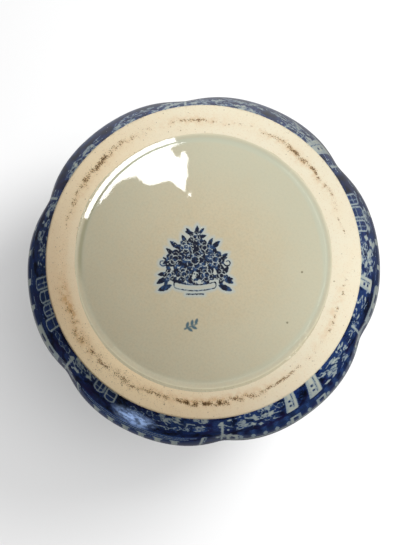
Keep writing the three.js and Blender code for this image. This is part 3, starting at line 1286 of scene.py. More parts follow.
class Shader:
    """A node tree, with one short call for each kind of node that the finishes and the studio use."""

    def __init__(self, name: str, colour: str = "#ffffff", world: bool = False) -> None:
        """Starts an empty material, or the world, under a name.

        Args:
            name: the name.
            colour: the hex code of what lies under all coats.
            world: True for the world.
        """
        self.owner = (bpy.data.worlds if world else bpy.data.materials).new(name)
        self.owner.use_nodes = True
        self.tree = self.owner.node_tree
        self.tree.nodes.clear()
        self.colour: Socket | str = colour
        self.place = self.add("ShaderNodeTexCoord", output="Generated" if world else "Object")

    def add(self, kind: str, inputs: dict[Any, Any] | None = None, output: Any = 0, **settings: Any) -> Any:
        """Adds a node with its settings and links.

        Args:
            kind: the node's type name.
            inputs: a value or an output socket for each named or numbered input.
            output: the name or number of the output that is wanted.
            settings: the node's own settings.

        Returns:
            The output's socket, or None for a node that has none.
        """
        node = self.tree.nodes.new(kind)
        for key, value in settings.items():
            setattr(node, key, value)
        for key, value in (inputs or {}).items():
            if isinstance(value, Socket):
                self.tree.links.new(value, node.inputs[key])
            else:
                node.inputs[key].default_value = value
        return node.outputs[output] if node.outputs else None

    def stored(self, name: str) -> Socket:
        """Reads the numbers that a piece's vertices hold under a name."""
        return self.add("ShaderNodeAttribute", output="Fac", attribute_name=name)

    def noise(self, size: float, detail: float = 2.0, roughness: float = 0.5) -> Socket:
        """Gives clouds of a size in millimetres, with values round 0.5."""
        inputs = {"Vector": self.place, "Scale": 1 / (size * MM), "Detail": detail, "Roughness": roughness}
        return self.add("ShaderNodeTexNoise", inputs, "Fac")

    def specks(self, spacing: float, radius: float, strength: float) -> Socket:
        """Gives round specks.

        Args:
            spacing: how far apart they lie, in millimetres.
            radius: their radius in millimetres.
            strength: the value in their middle.

        Returns:
            The specks, and 0 between them.
        """
        inputs = {"Vector": self.place, "Scale": 1 / (spacing * MM), "Randomness": 1.0}
        distance = self.add("ShaderNodeTexVoronoi", inputs, "Distance")
        return self.ramp(distance, 1.25 * radius / spacing, 0.75 * radius / spacing, 0.0, strength)

    def ramp(self, value: Any, low: float, high: float, to_low: float = 0.0, to_high: float = 1.0) -> Socket:
        """Maps low and high to two new values, and holds them beyond."""
        inputs = {"Value": value, "From Min": low, "From Max": high, "To Min": to_low, "To Max": to_high}
        return self.add("ShaderNodeMapRange", inputs)

    def combine(self, operation: str, first: Any, second: Any, third: Any = 0.0) -> Socket:
        """Works one operation on up to three numbers."""
        return self.add("ShaderNodeMath", {0: first, 1: second, 2: third}, operation=operation)

    def vector(self, operation: str, first: Any, second: Any = (0, 0, 0), output: str = "Value") -> Socket:
        """Works one operation on one or two directions."""
        return self.add("ShaderNodeVectorMath", {0: first, 1: second}, output, operation=operation)

    def blend(self, share: Any, first: Socket | str, second: Socket | str) -> Socket:
        """Mixes two colours.

        Args:
            share: how much of the second shows, from 0 to 1.
            first: the first colour, a socket or a hex code.
            second: the second colour.

        Returns:
            The mixed colour.
        """
        colours = [linear(colour) if isinstance(colour, str) else colour for colour in (first, second)]
        inputs = {MIX_FACTOR: share, MIX_A: colours[0], MIX_B: colours[1]}
        return self.add("ShaderNodeMix", inputs, MIX_RESULT, data_type="RGBA")

    def coat(self, share: Any, colour: Socket | str) -> None:
        """Lays a colour over what is there, as far as the share says."""
        self.colour = self.blend(share, self.colour, colour)

    def either(self, share: Socket, first: Any, second: Any) -> Socket:
        """Mixes two numbers."""
        return self.add("ShaderNodeMix", {MIX_FACTOR: share, 2: first, 3: second}, data_type="FLOAT")

    def glow(self, strength: Any, tint: str = "#ffffff") -> Socket:
        """Gives light of a strength and a tint."""
        return self.add("ShaderNodeEmission", {"Color": linear(tint), "Strength": strength})

    def close(self, surface: Socket) -> Material:
        """Closes a material's tree. What glows in it needs no sampling as a lamp."""
        self.add("ShaderNodeOutputMaterial", {"Surface": surface})
        self.owner.cycles.emission_sampling = "NONE"
        return self.owner

    def one_sided(self, surface: Socket) -> Material:
        """Closes the tree with a surface that shows from its front only."""
        back = self.add("ShaderNodeNewGeometry", output="Backfacing")
        clear = self.add("ShaderNodeBsdfTransparent")
        return self.close(self.add("ShaderNodeMixShader", {0: back, 1: surface, 2: clear}))

    def finish(self, roughness: Any, relief: Socket, strength: float, depth: float) -> Material:
        """Closes the tree with a clear or matt surface of the coated colour.

        Args:
            roughness: the surface's roughness.
            relief: the height of its small unevenness.
            strength: how much the unevenness shows.
            depth: how deep it is, in millimetres.

        Returns:
            The material.
        """
        bump = self.add("ShaderNodeBump", {"Strength": strength, "Distance": depth * MM, "Height": relief})
        inputs = {"Base Color": self.colour, "Roughness": roughness, "IOR": GLAZE_INDEX, "Normal": bump}
        return self.close(self.add("ShaderNodeBsdfPrincipled", inputs))


@dataclass(frozen=True)
class PrintedGlaze:
    """Transfer-printed earthenware under a clear lead glaze, fired until the cobalt flowed.

    The glaze is glossy and a little wavy. The cobalt is nearly black where it is thick, purple in
    places, mottled blue where it is thin, and bleeds into the pale clay as a soft blue edge.
    """

    deep: str = "#04081a"
    cobalt: str = "#172f6b"
    violet: str = "#1f1846"
    mid_blue: str = "#3a5c9a"
    soft_blue: str = "#7d9ab4"
    pale: str = "#d4d9c9"
    roughness: float = 0.1
    ragged: float = 1.5

    def build(self) -> Material:
        """Makes the material, which reads print_edge and print_wash from the piece."""
        shader = Shader("flow_blue_glaze", self.deep)
        edge, wash = shader.stored("print_edge"), shader.stored("print_wash")
        grain = shader.noise(1.0, 2.0, 0.6)
        shader.coat(shader.ramp(shader.noise(6, 4.0, 0.7), 0.43, 0.64), self.cobalt)
        shader.coat(shader.ramp(shader.noise(16, 3.0), 0.48, 0.66, 0.0, 0.85), self.violet)
        half_tone = shader.combine("MULTIPLY", wash, shader.ramp(grain, 0.35, 0.62, 0.35, 1.0))
        flowed = shader.ramp(shader.noise(2.8, 3.0, 0.7), 0.56, 0.7, 0.0, 0.6)
        halo = shader.ramp(edge, 1.3, 0.0, 0.0, 0.35)
        lifted = shader.combine("MAXIMUM", shader.combine("MAXIMUM", half_tone, halo), flowed)
        shader.coat(lifted, self.mid_blue)
        bleed = shader.combine("MAXIMUM", half_tone, shader.ramp(edge, -0.9, 0.1, 0.0, 0.8))
        ragged = shader.combine("MULTIPLY_ADD", grain, self.ragged, -0.5 * self.ragged)
        bare = shader.ramp(shader.combine("ADD", edge, ragged), 0.2, -0.2)
        shader.coat(bare, shader.blend(bleed, self.pale, self.soft_blue))
        return shader.finish(self.roughness, shader.noise(5, 1.5), 0.35, 0.12)


@dataclass(frozen=True)
class HandleGlaze:
    """Sponged cobalt under the same clear glaze, thin and pale where the relief stands proud."""

    deep: str = "#0b1230"
    cobalt: str = "#1a2960"
    thin: str = "#6f8cb0"
    roughness: float = 0.1

    def build(self) -> Material:
        """Makes the material, which reads relief from the piece."""
        shader = Shader("sponged_cobalt_glaze", self.deep)
        shader.coat(shader.noise(12, 3.0), self.cobalt)
        sponge = shader.noise(2.6, 3.0, 0.6)
        worn = shader.combine("MULTIPLY_ADD", sponge, 0.7, shader.stored("relief"))
        shader.coat(shader.ramp(worn, 0.62, 1.15, 0.0, 0.8), self.thin)
        return shader.finish(self.roughness, shader.noise(4, 1.5), 0.35, 0.12)


@dataclass(frozen=True)
class BareClay:
    """Unglazed fired cream earthenware, fettled with a wet sponge and worn brown where it stands.

    Matt and faintly gritty, creamy with pinkish clouds, dark specks and grains of ground-in dirt.
    Painted shade tints it pinker and painted light makes it paler on the side away from the light.
    """

    cream: str = "#e6dec6"
    warm: str = "#e6dbc1"
    # Tints of the painted shade and the painted light on the side away from the light
    shade_blush: str = "#e8cca6"
    painted_light: str = "#f9e2ba"
    stain: str = "#cd9e66"
    rub: str = "#c19657"
    grime: str = "#755733"
    core: str = "#382818"
    speck: str = "#8a7350"
    glaze: str = "#cfc5a6"
    roughness: float = 0.82
    glaze_roughness: float = 0.08

    def build(self) -> Material:
        """Makes the material, which reads wear, stains, glaze, painted shade and painted light from the
        piece.
        """
        shader = Shader("bare_earthenware", self.cream)
        wear = shader.stored("wear")
        mottle = shader.noise(3.2, 3.0, 0.7)
        grit = shader.noise(0.62, 2.0, 0.65)
        shader.coat(shader.ramp(shader.noise(14, 4.0, 0.6), 0.35, 0.7), self.warm)
        # Painted shade: pinker clay on the side away from the light, broken up by clouds
        mottled_shade_blush = shader.combine("MULTIPLY_ADD", mottle, 0.5, shader.stored("shade_blush"))
        shader.coat(shader.ramp(mottled_shade_blush, 0.25, 1.35), self.shade_blush)
        # Painted light: paler clay on the foot's shaded side
        shader.coat(shader.stored("painted_light"), self.painted_light)
        stained = shader.combine("MULTIPLY", shader.stored("stain"), shader.ramp(mottle, 0.36, 0.6))
        shader.coat(stained, self.stain)
        rubbed = shader.combine("MULTIPLY", wear, mottle)
        shader.coat(shader.ramp(rubbed, 0.1, 0.6, 0.0, 0.36), self.rub)
        patchy = shader.combine("MULTIPLY", wear, shader.ramp(mottle, 0.34, 0.62, 0.55, 1.15))
        grains = shader.combine("MULTIPLY_ADD", patchy, 0.37, grit)
        shader.coat(shader.ramp(grains, 0.7, 0.78, 0.0, 0.85), self.grime)
        shader.coat(shader.ramp(grains, 0.82, 0.92, 0.0, 0.85), self.core)
        shader.coat(shader.ramp(shader.noise(0.9, 3.0, 0.7), 0.57, 0.74, 0.0, 0.4), self.rub)
        shader.coat(shader.specks(3.4, 0.28, 0.5), self.grime)
        shader.coat(shader.specks(8, 0.4, 0.7), self.speck)
        ragged = shader.combine("MULTIPLY_ADD", mottle, 0.5, shader.stored("glazed"))
        glazed = shader.ramp(ragged, 0.7, 0.85)
        shader.coat(glazed, self.glaze)
        gloss = shader.ramp(glazed, 0.0, 1.0, self.roughness, self.glaze_roughness)
        relief = shader.combine("MULTIPLY_ADD", mottle, 0.6, grit)
        relief = shader.combine("MULTIPLY_ADD", glazed, shader.specks(1.2, 0.42, 2.0), relief)
        return shader.finish(gloss, relief, 0.5, 0.12)


@dataclass(frozen=True)
class BaseGlaze:
    """Clear lead glaze over the clay of the recess, with a small blue mark under it.

    Grey-green and glossy, bluish where it pooled at the edge, with faint mottling and a few pinholes.
    """

    body: str = "#d0c3a5"
    warm: str = "#cec0a1"
    pool: str = "#c2c3ad"
    cove: str = "#dcd4b8"
    olive: str = "#8f8b6a"
    mark: str = "#0a0d29"
    mark_thin: str = "#2a4770"
    flow: str = "#b9c5c4"
    brush: str = "#245b72"
    speck: str = "#6d674f"
    roughness: float = 0.015
    dull_roughness: float = 0.35

    def build(self) -> Material:
        """Makes the material, which reads pool, cove, olive, dull and both marks from the piece."""
        shader = Shader("clear_base_glaze", self.body)
        mark = shader.stored("mark_edge")
        grain = shader.noise(1.1, 2.0, 0.6)
        shader.coat(shader.ramp(shader.noise(24, 3.0), 0.38, 0.65), self.warm)
        shader.coat(shader.ramp(shader.noise(2.4, 3.0, 0.65), 0.35, 0.7, 0.0, 0.3), self.pool)
        shader.coat(shader.ramp(grain, 0.42, 0.68, 0.0, 0.1), self.speck)
        shader.coat(shader.stored("pool"), self.pool)
        shader.coat(shader.stored("cove"), self.cove)
        shader.coat(shader.stored("olive"), self.olive)
        shader.coat(shader.specks(15, 0.55, 0.75), self.speck)
        shader.coat(shader.ramp(mark, 2.0, 0.0, 0.0, 0.9), self.flow)
        thin = shader.ramp(shader.noise(2.2, 2.0), 0.48, 0.66)
        print_colour = shader.blend(thin, self.mark, self.mark_thin)
        uneven = shader.combine("MULTIPLY_ADD", grain, 0.7, -0.35)
        printed = shader.ramp(shader.combine("ADD", mark, uneven), 0.22, -0.12, 0.0, 0.97)
        shader.coat(printed, print_colour)
        shader.coat(shader.ramp(shader.stored("brush_edge"), 0.3, -0.25, 0.0, 0.85), self.brush)
        dull = shader.ramp(shader.stored("dull"), 0.0, 1.0, self.roughness, self.dull_roughness)
        return shader.finish(dull, grain, 0.05, 0.03)


# The view from below, as the photograph has it


def compass(angle: float) -> Vector:
    """The level direction at an angle in degrees from +X towards +Y."""
    return Vector((*polar(1.0, angle), 0.0))


@dataclass(frozen=True)
class View:
    """The camera under the foot. Its picture's right and up directions lie level in the frame."""

    lens: float = 72.19
    sensor: float = 36.0
    below: float = 550.0
    right_of_axis: float = 1.8
    down_of_axis: float = 54.0
    turn: float = -23.4
    pitch: float = 4.95
    yaw: float = -0.11

    def towards(self, angle: float) -> Vector:
        """The level direction at an angle in degrees, from the picture's right towards its top."""
        return compass(self.turn - angle)

    def at(self, right: float, up: float, height: float) -> Vector:
        """Gives the place, in metres, of a point in millimetres right and up in the picture."""
        return (self.towards(0) * right + self.towards(90) * up + Vector((0.0, 0.0, height))) * MM

    def eye(self) -> Vector:
        """Gives the camera's place in metres."""
        return self.at(self.right_of_axis, -self.down_of_axis, -self.below)

    def level(self, azimuth: float, distance: float) -> Pair:
        """Gives how far right and up in the picture a place lies, from its azimuth and distance."""
        place = compass(azimuth) * distance
        return place.dot(self.towards(0)), place.dot(self.towards(90))

    def flat(self, points: Array) -> Arrays:
        """Gives how far right and up in the picture each point of the underside lies."""
        right, up = self.towards(0), self.towards(90)
        return points[:, 0] * right.x + points[:, 1] * right.y, points[:, 0] * up.x + points[:, 1] * up.y

    def build(self) -> None:
        """Adds the camera and makes it the scene's own."""
        pitch, yaw = math.radians(self.pitch), math.radians(self.yaw)
        ahead = self.towards(0) * (math.sin(yaw) * math.cos(pitch)) + self.towards(90) * math.sin(pitch)
        ahead.z = math.cos(yaw) * math.cos(pitch)
        side = self.towards(0) * math.cos(yaw) - Vector((0.0, 0.0, math.sin(yaw)))
        data = bpy.data.cameras.new("view_from_below")
        data.lens = self.lens
        data.sensor_width = self.sensor
        data.sensor_fit = "AUTO"
        data.clip_start = 10 * MM
        camera = bpy.data.objects.new("view_from_below", data)
        bpy.context.scene.collection.objects.link(camera)
        turn = Matrix((side, side.cross(ahead), -ahead)).transposed().to_4x4()
        camera.matrix_world = Matrix.Translation(self.eye()) @ turn
        bpy.context.scene.camera = camera


VIEW = View()


@dataclass(frozen=True)
class BaseDome:
    """The glaze surface of the recess: nearly level in the middle, rising to the clay at its edge."""

    middle_height: float = 1.35
    edge_height: float = 0.95
    cove_radius: float = 62.2
    lip_radius: float = 65.3
    lip_height: float = 0.35

    def height(self, radius: Any) -> Any:
        """Gives the surface's height at a radius, up to the cove."""
        return between(self.middle_height, self.edge_height, (radius / self.cove_radius) ** 2)

    def slope(self, radius: float) -> float:
        """Gives how much the height grows for each millimetre outwards."""
        return 2 * (self.edge_height - self.middle_height) * radius / self.cove_radius**2


BASE_DOME = BaseDome()

# Outlines of the window's reflections on the base, right and up of the axis in millimetres
WINDOW_REFLECTIONS = (
    (
        *((-54.6, 33.5), (-51.0, 38.0), (-46.5, 43.7), (-41.8, 49.0), (-36.5, 53.5), (-31.0, 57.5)),
        *((-24.5, 59.8), (-18.0, 62.0), (-12.0, 63.8), (-8.6, 64.3), (-8.4, 61.7), (-12.9, 60.2)),
        *((-17.5, 57.9), (-14.0, 53.9), (-11.4, 51.6), (-10.4, 55.6), (-7.4, 52.6), (-7.9, 46.1)),
        *((-7.4, 42.6), (-8.9, 38.7), (-8.9, 35.2), (-9.9, 34.9), (-12.9, 36.7), (-15.7, 39.4)),
        *((-17.7, 40.9), (-20.0, 40.4), (-23.5, 39.7), (-27.0, 39.2), (-30.0, 40.2), (-32.5, 41.7)),
        *((-34.1, 43.2), (-38.1, 42.4), (-42.1, 41.2), (-45.1, 39.2), (-46.6, 37.2), (-46.6, 35.6)),
        *((-48.6, 33.6), (-51.4, 31.1), (-54.2, 27.1), (-52.7, 30.6)),
    ),
    ((-7.0, 33.2), (-5.6, 34.6), (-5.8, 33.0), (-6.6, 31.6)),
)

# Where the cove mirrors the window too: directions in the picture, and the cove's slopes there
COVE_REFLECTION = (103.0, 160.0)
COVE_SLOPES = (-0.155, -0.34)


class Lights(Enum):
    """What a lamp lights."""

    VASE = "all but the sheet behind the vase"
    SHEET = "the sheet alone, for the vase's shadow on it"


def dress_stage(piece: Piece, material: Material, to_camera: bool = False) -> None:
    """Shows a studio piece to the camera or to reflections alone, so that it lights nothing.

    Args:
        piece: the piece.
        material: its material.
        to_camera: True for the camera, False for reflections.
    """
    piece.data.materials.append(material)
    piece.visible_camera = to_camera
    piece.visible_glossy = not to_camera
    piece.visible_diffuse = False
    piece.visible_transmission = False
    piece.visible_shadow = False


def glowing(name: str, strength: float) -> Material:
    """A card's bright paper."""
    shader = Shader(name)
    return shader.close(shader.glow(strength))


def plain(name: str, corners: int = 4, radius: float = 1000.0) -> Piece:
    """Adds a flat studio piece under a name, to be shaped by the caller.

    Args:
        name: the piece's name.
        corners: how many corners it has.
        radius: how far they lie from the origin, in millimetres.

    Returns:
        The piece.
    """
    piece = circle(name, corners, radius, "NGON")
    return piece


def ring(name: str, inner: float, outer: float) -> Piece:
    """Adds a flat studio ring under a name, between two radii in millimetres.

    Args:
        name: the piece's name.
        inner: the hole's radius.
        outer: the outer radius.

    Returns:
        The ring.
    """
    piece = plain(name, 96, outer)
    with edit_mode(piece):
        bpy.ops.mesh.select_mode(type="FACE")
        bpy.ops.mesh.select_all(action="SELECT")
        bpy.ops.mesh.inset(thickness=(outer - inner) * MM)
        bpy.ops.mesh.delete(type="FACE")
    return piece


def face_down(piece: Piece) -> None:
    """Turns a studio piece's front to the floor."""
    if piece.data.polygons[0].normal.z > 0:
        piece.data.flip_normals()


@dataclass(frozen=True)
class Lamp:
    """A round studio lamp, placed right, up and high in the picture's directions, in millimetres.

    Reflections do not show the lamp itself but, where card is above 0, a card in its place.
    """

    name: str
    right: float
    up: float
    height: float
    size: float
    power: float
    lights: Lights = Lights.VASE
    card: float = 0.0

    def build(self, aim: Vector, sheet: Piece) -> None:
        """Adds the lamp and its card.

        Args:
            aim: the place that it is turned to, in metres.
            sheet: the sheet behind the vase, which it leaves out or lights alone.
        """
        data = bpy.data.lights.new(self.name, "AREA")
        data.shape = "DISK"
        data.size = self.size * MM
        data.energy = self.power
        lamp = bpy.data.objects.new(self.name, data)
        bpy.context.scene.collection.objects.link(lamp)
        lamp.location = VIEW.at(self.right, self.up, self.height)
        turn = (aim - lamp.location).to_track_quat("-Z", "Y")
        lamp.rotation_euler = turn.to_euler()
        lamp.visible_glossy = False
        lamp.visible_camera = False
        receivers = bpy.data.collections.new(f"lit_by_{self.name}")
        receivers.objects.link(sheet)
        if self.lights is Lights.VASE:
            receivers.collection_objects[0].light_linking.link_state = "EXCLUDE"
        lamp.light_linking.receiver_collection = receivers
        if self.card > 0:
            card = plain(f"{self.name}_card", 48, self.size / 2)
            corners = [turn @ Vector(corner) + lamp.location / MM for corner in points_of(card)]
            move_points(card, np.array(corners))
            dress_stage(card, glowing(f"{self.name}_paper", self.card))


@dataclass(frozen=True)
class Studio:
    """The floor, the backdrop, the lamps and the surroundings. None of it is part of the vase."""

    floor_radius: float = 2600.0
    floor_drop: float = 0.6
    sheet_height: float = 287.0
    sheet_tilt: float = 0.122
    sheet_fall: float = -45.0
    sheet_half_width: float = 400.0
    sheet_half_height: float = 500.0
    sheet_glow: float = 0.403
    window_height: float = -600.0
    window_strength: float = 20.0
    cove_window_height: float = -4000.0
    cove_middle: float = 1.3
    collar_height: float = 74.0
    collar_inner: float = 109.0
    collar_outer: float = 700.0
    collar_drop: float = 190.0
    collar_light: float = 80.0
    world_light: float = 70.0
    skirt_inner: float = 78.5
    skirt_outer: float = 900.0
    skirt_glow: float = 0.2
    glint_azimuth: float = 92.2
    glint_radius: float = 138.0
    glint_reach: float = 23.0
    glint_strength: float = 4.4
    glint_tint: str = "#afcdff"
    high_aim: float = 130.0

    def lamps(self) -> tuple[Lamp, ...]:
        """Lists the lamps: two below for the view from under the foot, the rest for the sides."""
        return (
            Lamp("key_right", 148, -49, -140, 80, 0.248),
            Lamp("key_top", 9, 132, -163, 98, 0.289),
            Lamp("shadow_near", 246, 135, -573, 201, 16.2, Lights.SHEET),
            Lamp("shadow_far", 285, 26, -1360, 532, 43.1, Lights.SHEET),
            Lamp("high_left_front", *VIEW.level(-135, 760), 820, 420, 13.0, card=18.0),
            Lamp("high_right_front", *VIEW.level(-32, 820), 760, 520, 9.0, card=12.0),
            Lamp("high_right_back", *VIEW.level(62, 900), 700, 420, 7.0, card=10.0),
            Lamp("high_left_back", *VIEW.level(152, 800), 820, 520, 9.0, card=10.0),
        )

    def paper(self, name: str, albedo: float, glow: float, far_glow: float) -> Material:
        """A white matt surface that shows from its front only.

        Args:
            name: the material's name.
            albedo: the share of light that it throws back.
            glow: its own light near the vase.
            far_glow: its own light far from the vase.

        Returns:
            The material.
        """
        shader = Shader(name)
        strength = shader.ramp(shader.vector("LENGTH", shader.place), 0.15, 0.9, glow, far_glow)
        matt = shader.add("ShaderNodeBsdfDiffuse", {"Color": (albedo, albedo, albedo, 1.0)})
        return shader.one_sided(shader.add("ShaderNodeAddShader", {0: matt, 1: shader.glow(strength)}))

    def build_floor(self) -> None:
        """Lays the floor, which only shows from above."""
        floor = plain("floor", 64, self.floor_radius)
        move_points(floor, points_of(floor) - [0.0, 0.0, self.floor_drop])
        dress_stage(floor, self.paper("floor_paper", 0.5, 0.2, 1.0), to_camera=True)

    def build_sheet(self) -> Piece:
        """Hangs the white sheet over the mouth. It takes the shadow in the view from below.

        It shows from below only, and falls towards the front and the right handle, so that level
        views from there see its back, which is clear.

        Returns:
            The sheet.
        """
        sheet = plain("sheet")
        wide, high = self.sheet_half_width, self.sheet_half_height
        corners = [VIEW.at(x * wide, y * high, 0.0) / MM for x, y in ((-1, -1), (1, -1), (1, 1), (-1, 1))]
        for corner in corners:
            corner.z = self.sheet_height - self.sheet_tilt * corner.dot(compass(self.sheet_fall))
        move_points(sheet, np.array(corners))
        face_down(sheet)
        dress_stage(sheet, self.paper("sheet_paper", 0.2, self.sheet_glow, self.sheet_glow), to_camera=True)
        return sheet

    def build_collar(self) -> None:
        """Adds the ring round the belly that its underside mirrors instead of the high lamps.

        It is brighter towards the photo's light, and a small bluish patch gives the glint near the foot.
        """
        collar = ring("collar", self.collar_inner, self.collar_outer)
        points = points_of(collar)
        far = np.hypot(points[:, 0], points[:, 1]) > (self.collar_inner + self.collar_outer) / 2
        points[:, 2] = np.where(far, self.collar_height - self.collar_drop, self.collar_height)
        move_points(collar, points)
        shader = Shader("collar_cloth")
        level = shader.vector("MULTIPLY", shader.place, (1, 1, 0), "Vector")
        away = shader.vector("LENGTH", level)
        towards = shader.vector("DOT_PRODUCT", level, VIEW.towards(self.collar_light))
        share = shader.ramp(shader.combine("DIVIDE", towards, away), -0.25, 1.0)
        glow = shader.combine("MULTIPLY_ADD", shader.combine("MULTIPLY", share, share), 0.7, 0.03)
        glow = shader.combine("MULTIPLY", glow, shader.ramp(away, 0.109, 0.2, 0.45, 1.0))
        inward = (self.glint_radius - self.collar_inner) / (self.collar_outer - self.collar_inner)
        middle = compass(self.glint_azimuth) * self.glint_radius
        middle.z = self.collar_height - self.collar_drop * inward
        reach = self.glint_reach * MM
        apart = shader.vector("DISTANCE", shader.place, middle * MM)
        patch = shader.ramp(apart, reach, 0.35 * reach, 0.0, self.glint_strength)
        patch = shader.combine("MULTIPLY", patch, shader.ramp(shader.noise(5, 2.0), 0.4, 0.58, 0.15, 1.0))
        both = {0: shader.glow(glow), 1: shader.glow(patch, self.glint_tint)}
        face_down(collar)
        dress_stage(collar, shader.one_sided(shader.add("ShaderNodeAddShader", both)))

    def build_skirt(self) -> None:
        """Lays the ring round the foot that the wall mirrors in place of the floor and the cards below."""
        skirt = ring("skirt", self.skirt_inner, self.skirt_outer)
        move_points(skirt, points_of(skirt) - [0.0, 0.0, self.floor_drop / 2])
        dress_stage(skirt, glowing("skirt_cloth", self.skirt_glow))

    def mirrored(self, right: float, up: float, slope: float, height: float) -> Vector:
        """Finds the place that the base's glaze mirrors into the camera.

        Args:
            right: how far right of the axis the reflection lies on the base.
            up: how far up it lies.
            slope: how much the glaze rises there for each millimetre outwards.
            height: how high the place lies, in millimetres.

        Returns:
            The place in millimetres.
        """
        radius = math.hypot(right, up)
        start = VIEW.at(right, up, BASE_DOME.height(radius)) / MM
        ray = (start - VIEW.eye() / MM).normalized()
        outward = VIEW.at(right, up, 0.0) / MM / max(radius, 1e-6)
        normal = (outward * slope - Vector((0.0, 0.0, 1.0))).normalized()
        bounced = ray - normal * (2 * ray.dot(normal))
        return start + bounced * ((height - start.z) / bounced.z)

    def build_window(self) -> None:
        """Adds the bright cards whose reflections on the glazed recess have the outlines given there."""
        cards = []
        for outline in WINDOW_REFLECTIONS:
            corners = [(*spot, BASE_DOME.slope(math.hypot(*spot))) for spot in outline]
            cards.append([self.mirrored(*corner, self.window_height) for corner in corners])
        turns = list(np.linspace(*COVE_REFLECTION, 6))
        edges = [(turn, COVE_SLOPES[0]) for turn in turns] + [(turn, COVE_SLOPES[1]) for turn in turns[::-1]]
        radius = BASE_DOME.cove_radius + self.cove_middle
        corners = []
        for turn, slope in edges:
            corners.append(self.mirrored(*polar(radius, turn), slope, self.cove_window_height))
        sky = glowing("window_sky", self.window_strength)
        for name, places in zip(("window_0", "window_1", "window_in_cove"), (*cards, corners)):
            card = plain(name, len(places))
            move_points(card, np.array(places))
            dress_stage(card, sky)

    def build_surroundings(self) -> None:
        """Makes the world: white to the camera, soft grey to matt and dim below to glossy surfaces."""
        shader = Shader("studio", world=True)
        bpy.context.scene.world = shader.owner
        upward = shader.add("ShaderNodeSeparateXYZ", {0: shader.place}, "Z")
        side = shader.vector("DOT_PRODUCT", shader.place, VIEW.towards(self.world_light))
        dimmed = shader.ramp(side, -0.4, 0.7, 0.07, 0.8)
        glossy = shader.combine("MULTIPLY", shader.ramp(upward, -0.1, 1.0, 0.06, 0.5), dimmed)
        matt = shader.ramp(upward, -0.15, 0.6, 0.08, 0.4)
        indirect = shader.either(shader.add("ShaderNodeLightPath", output="Is Glossy Ray"), matt, glossy)
        strength = shader.either(shader.add("ShaderNodeLightPath", output="Is Camera Ray"), indirect, 1.0)
        background = shader.add("ShaderNodeBackground", {"Color": (1, 1, 1, 1), "Strength": strength})
        shader.add("ShaderNodeOutputWorld", {"Surface": background})

    def build(self) -> None:
        """Sets the whole studio up."""
        self.build_floor()
        sheet = self.build_sheet()
        self.build_collar()
        self.build_skirt()
        self.build_window()
        self.build_surroundings()
        for lamp in self.lamps():
            lamp.build(Vector((0.0, 0.0, 0.0 if lamp.height < 0 else self.high_aim * MM)), sheet)


# The vase


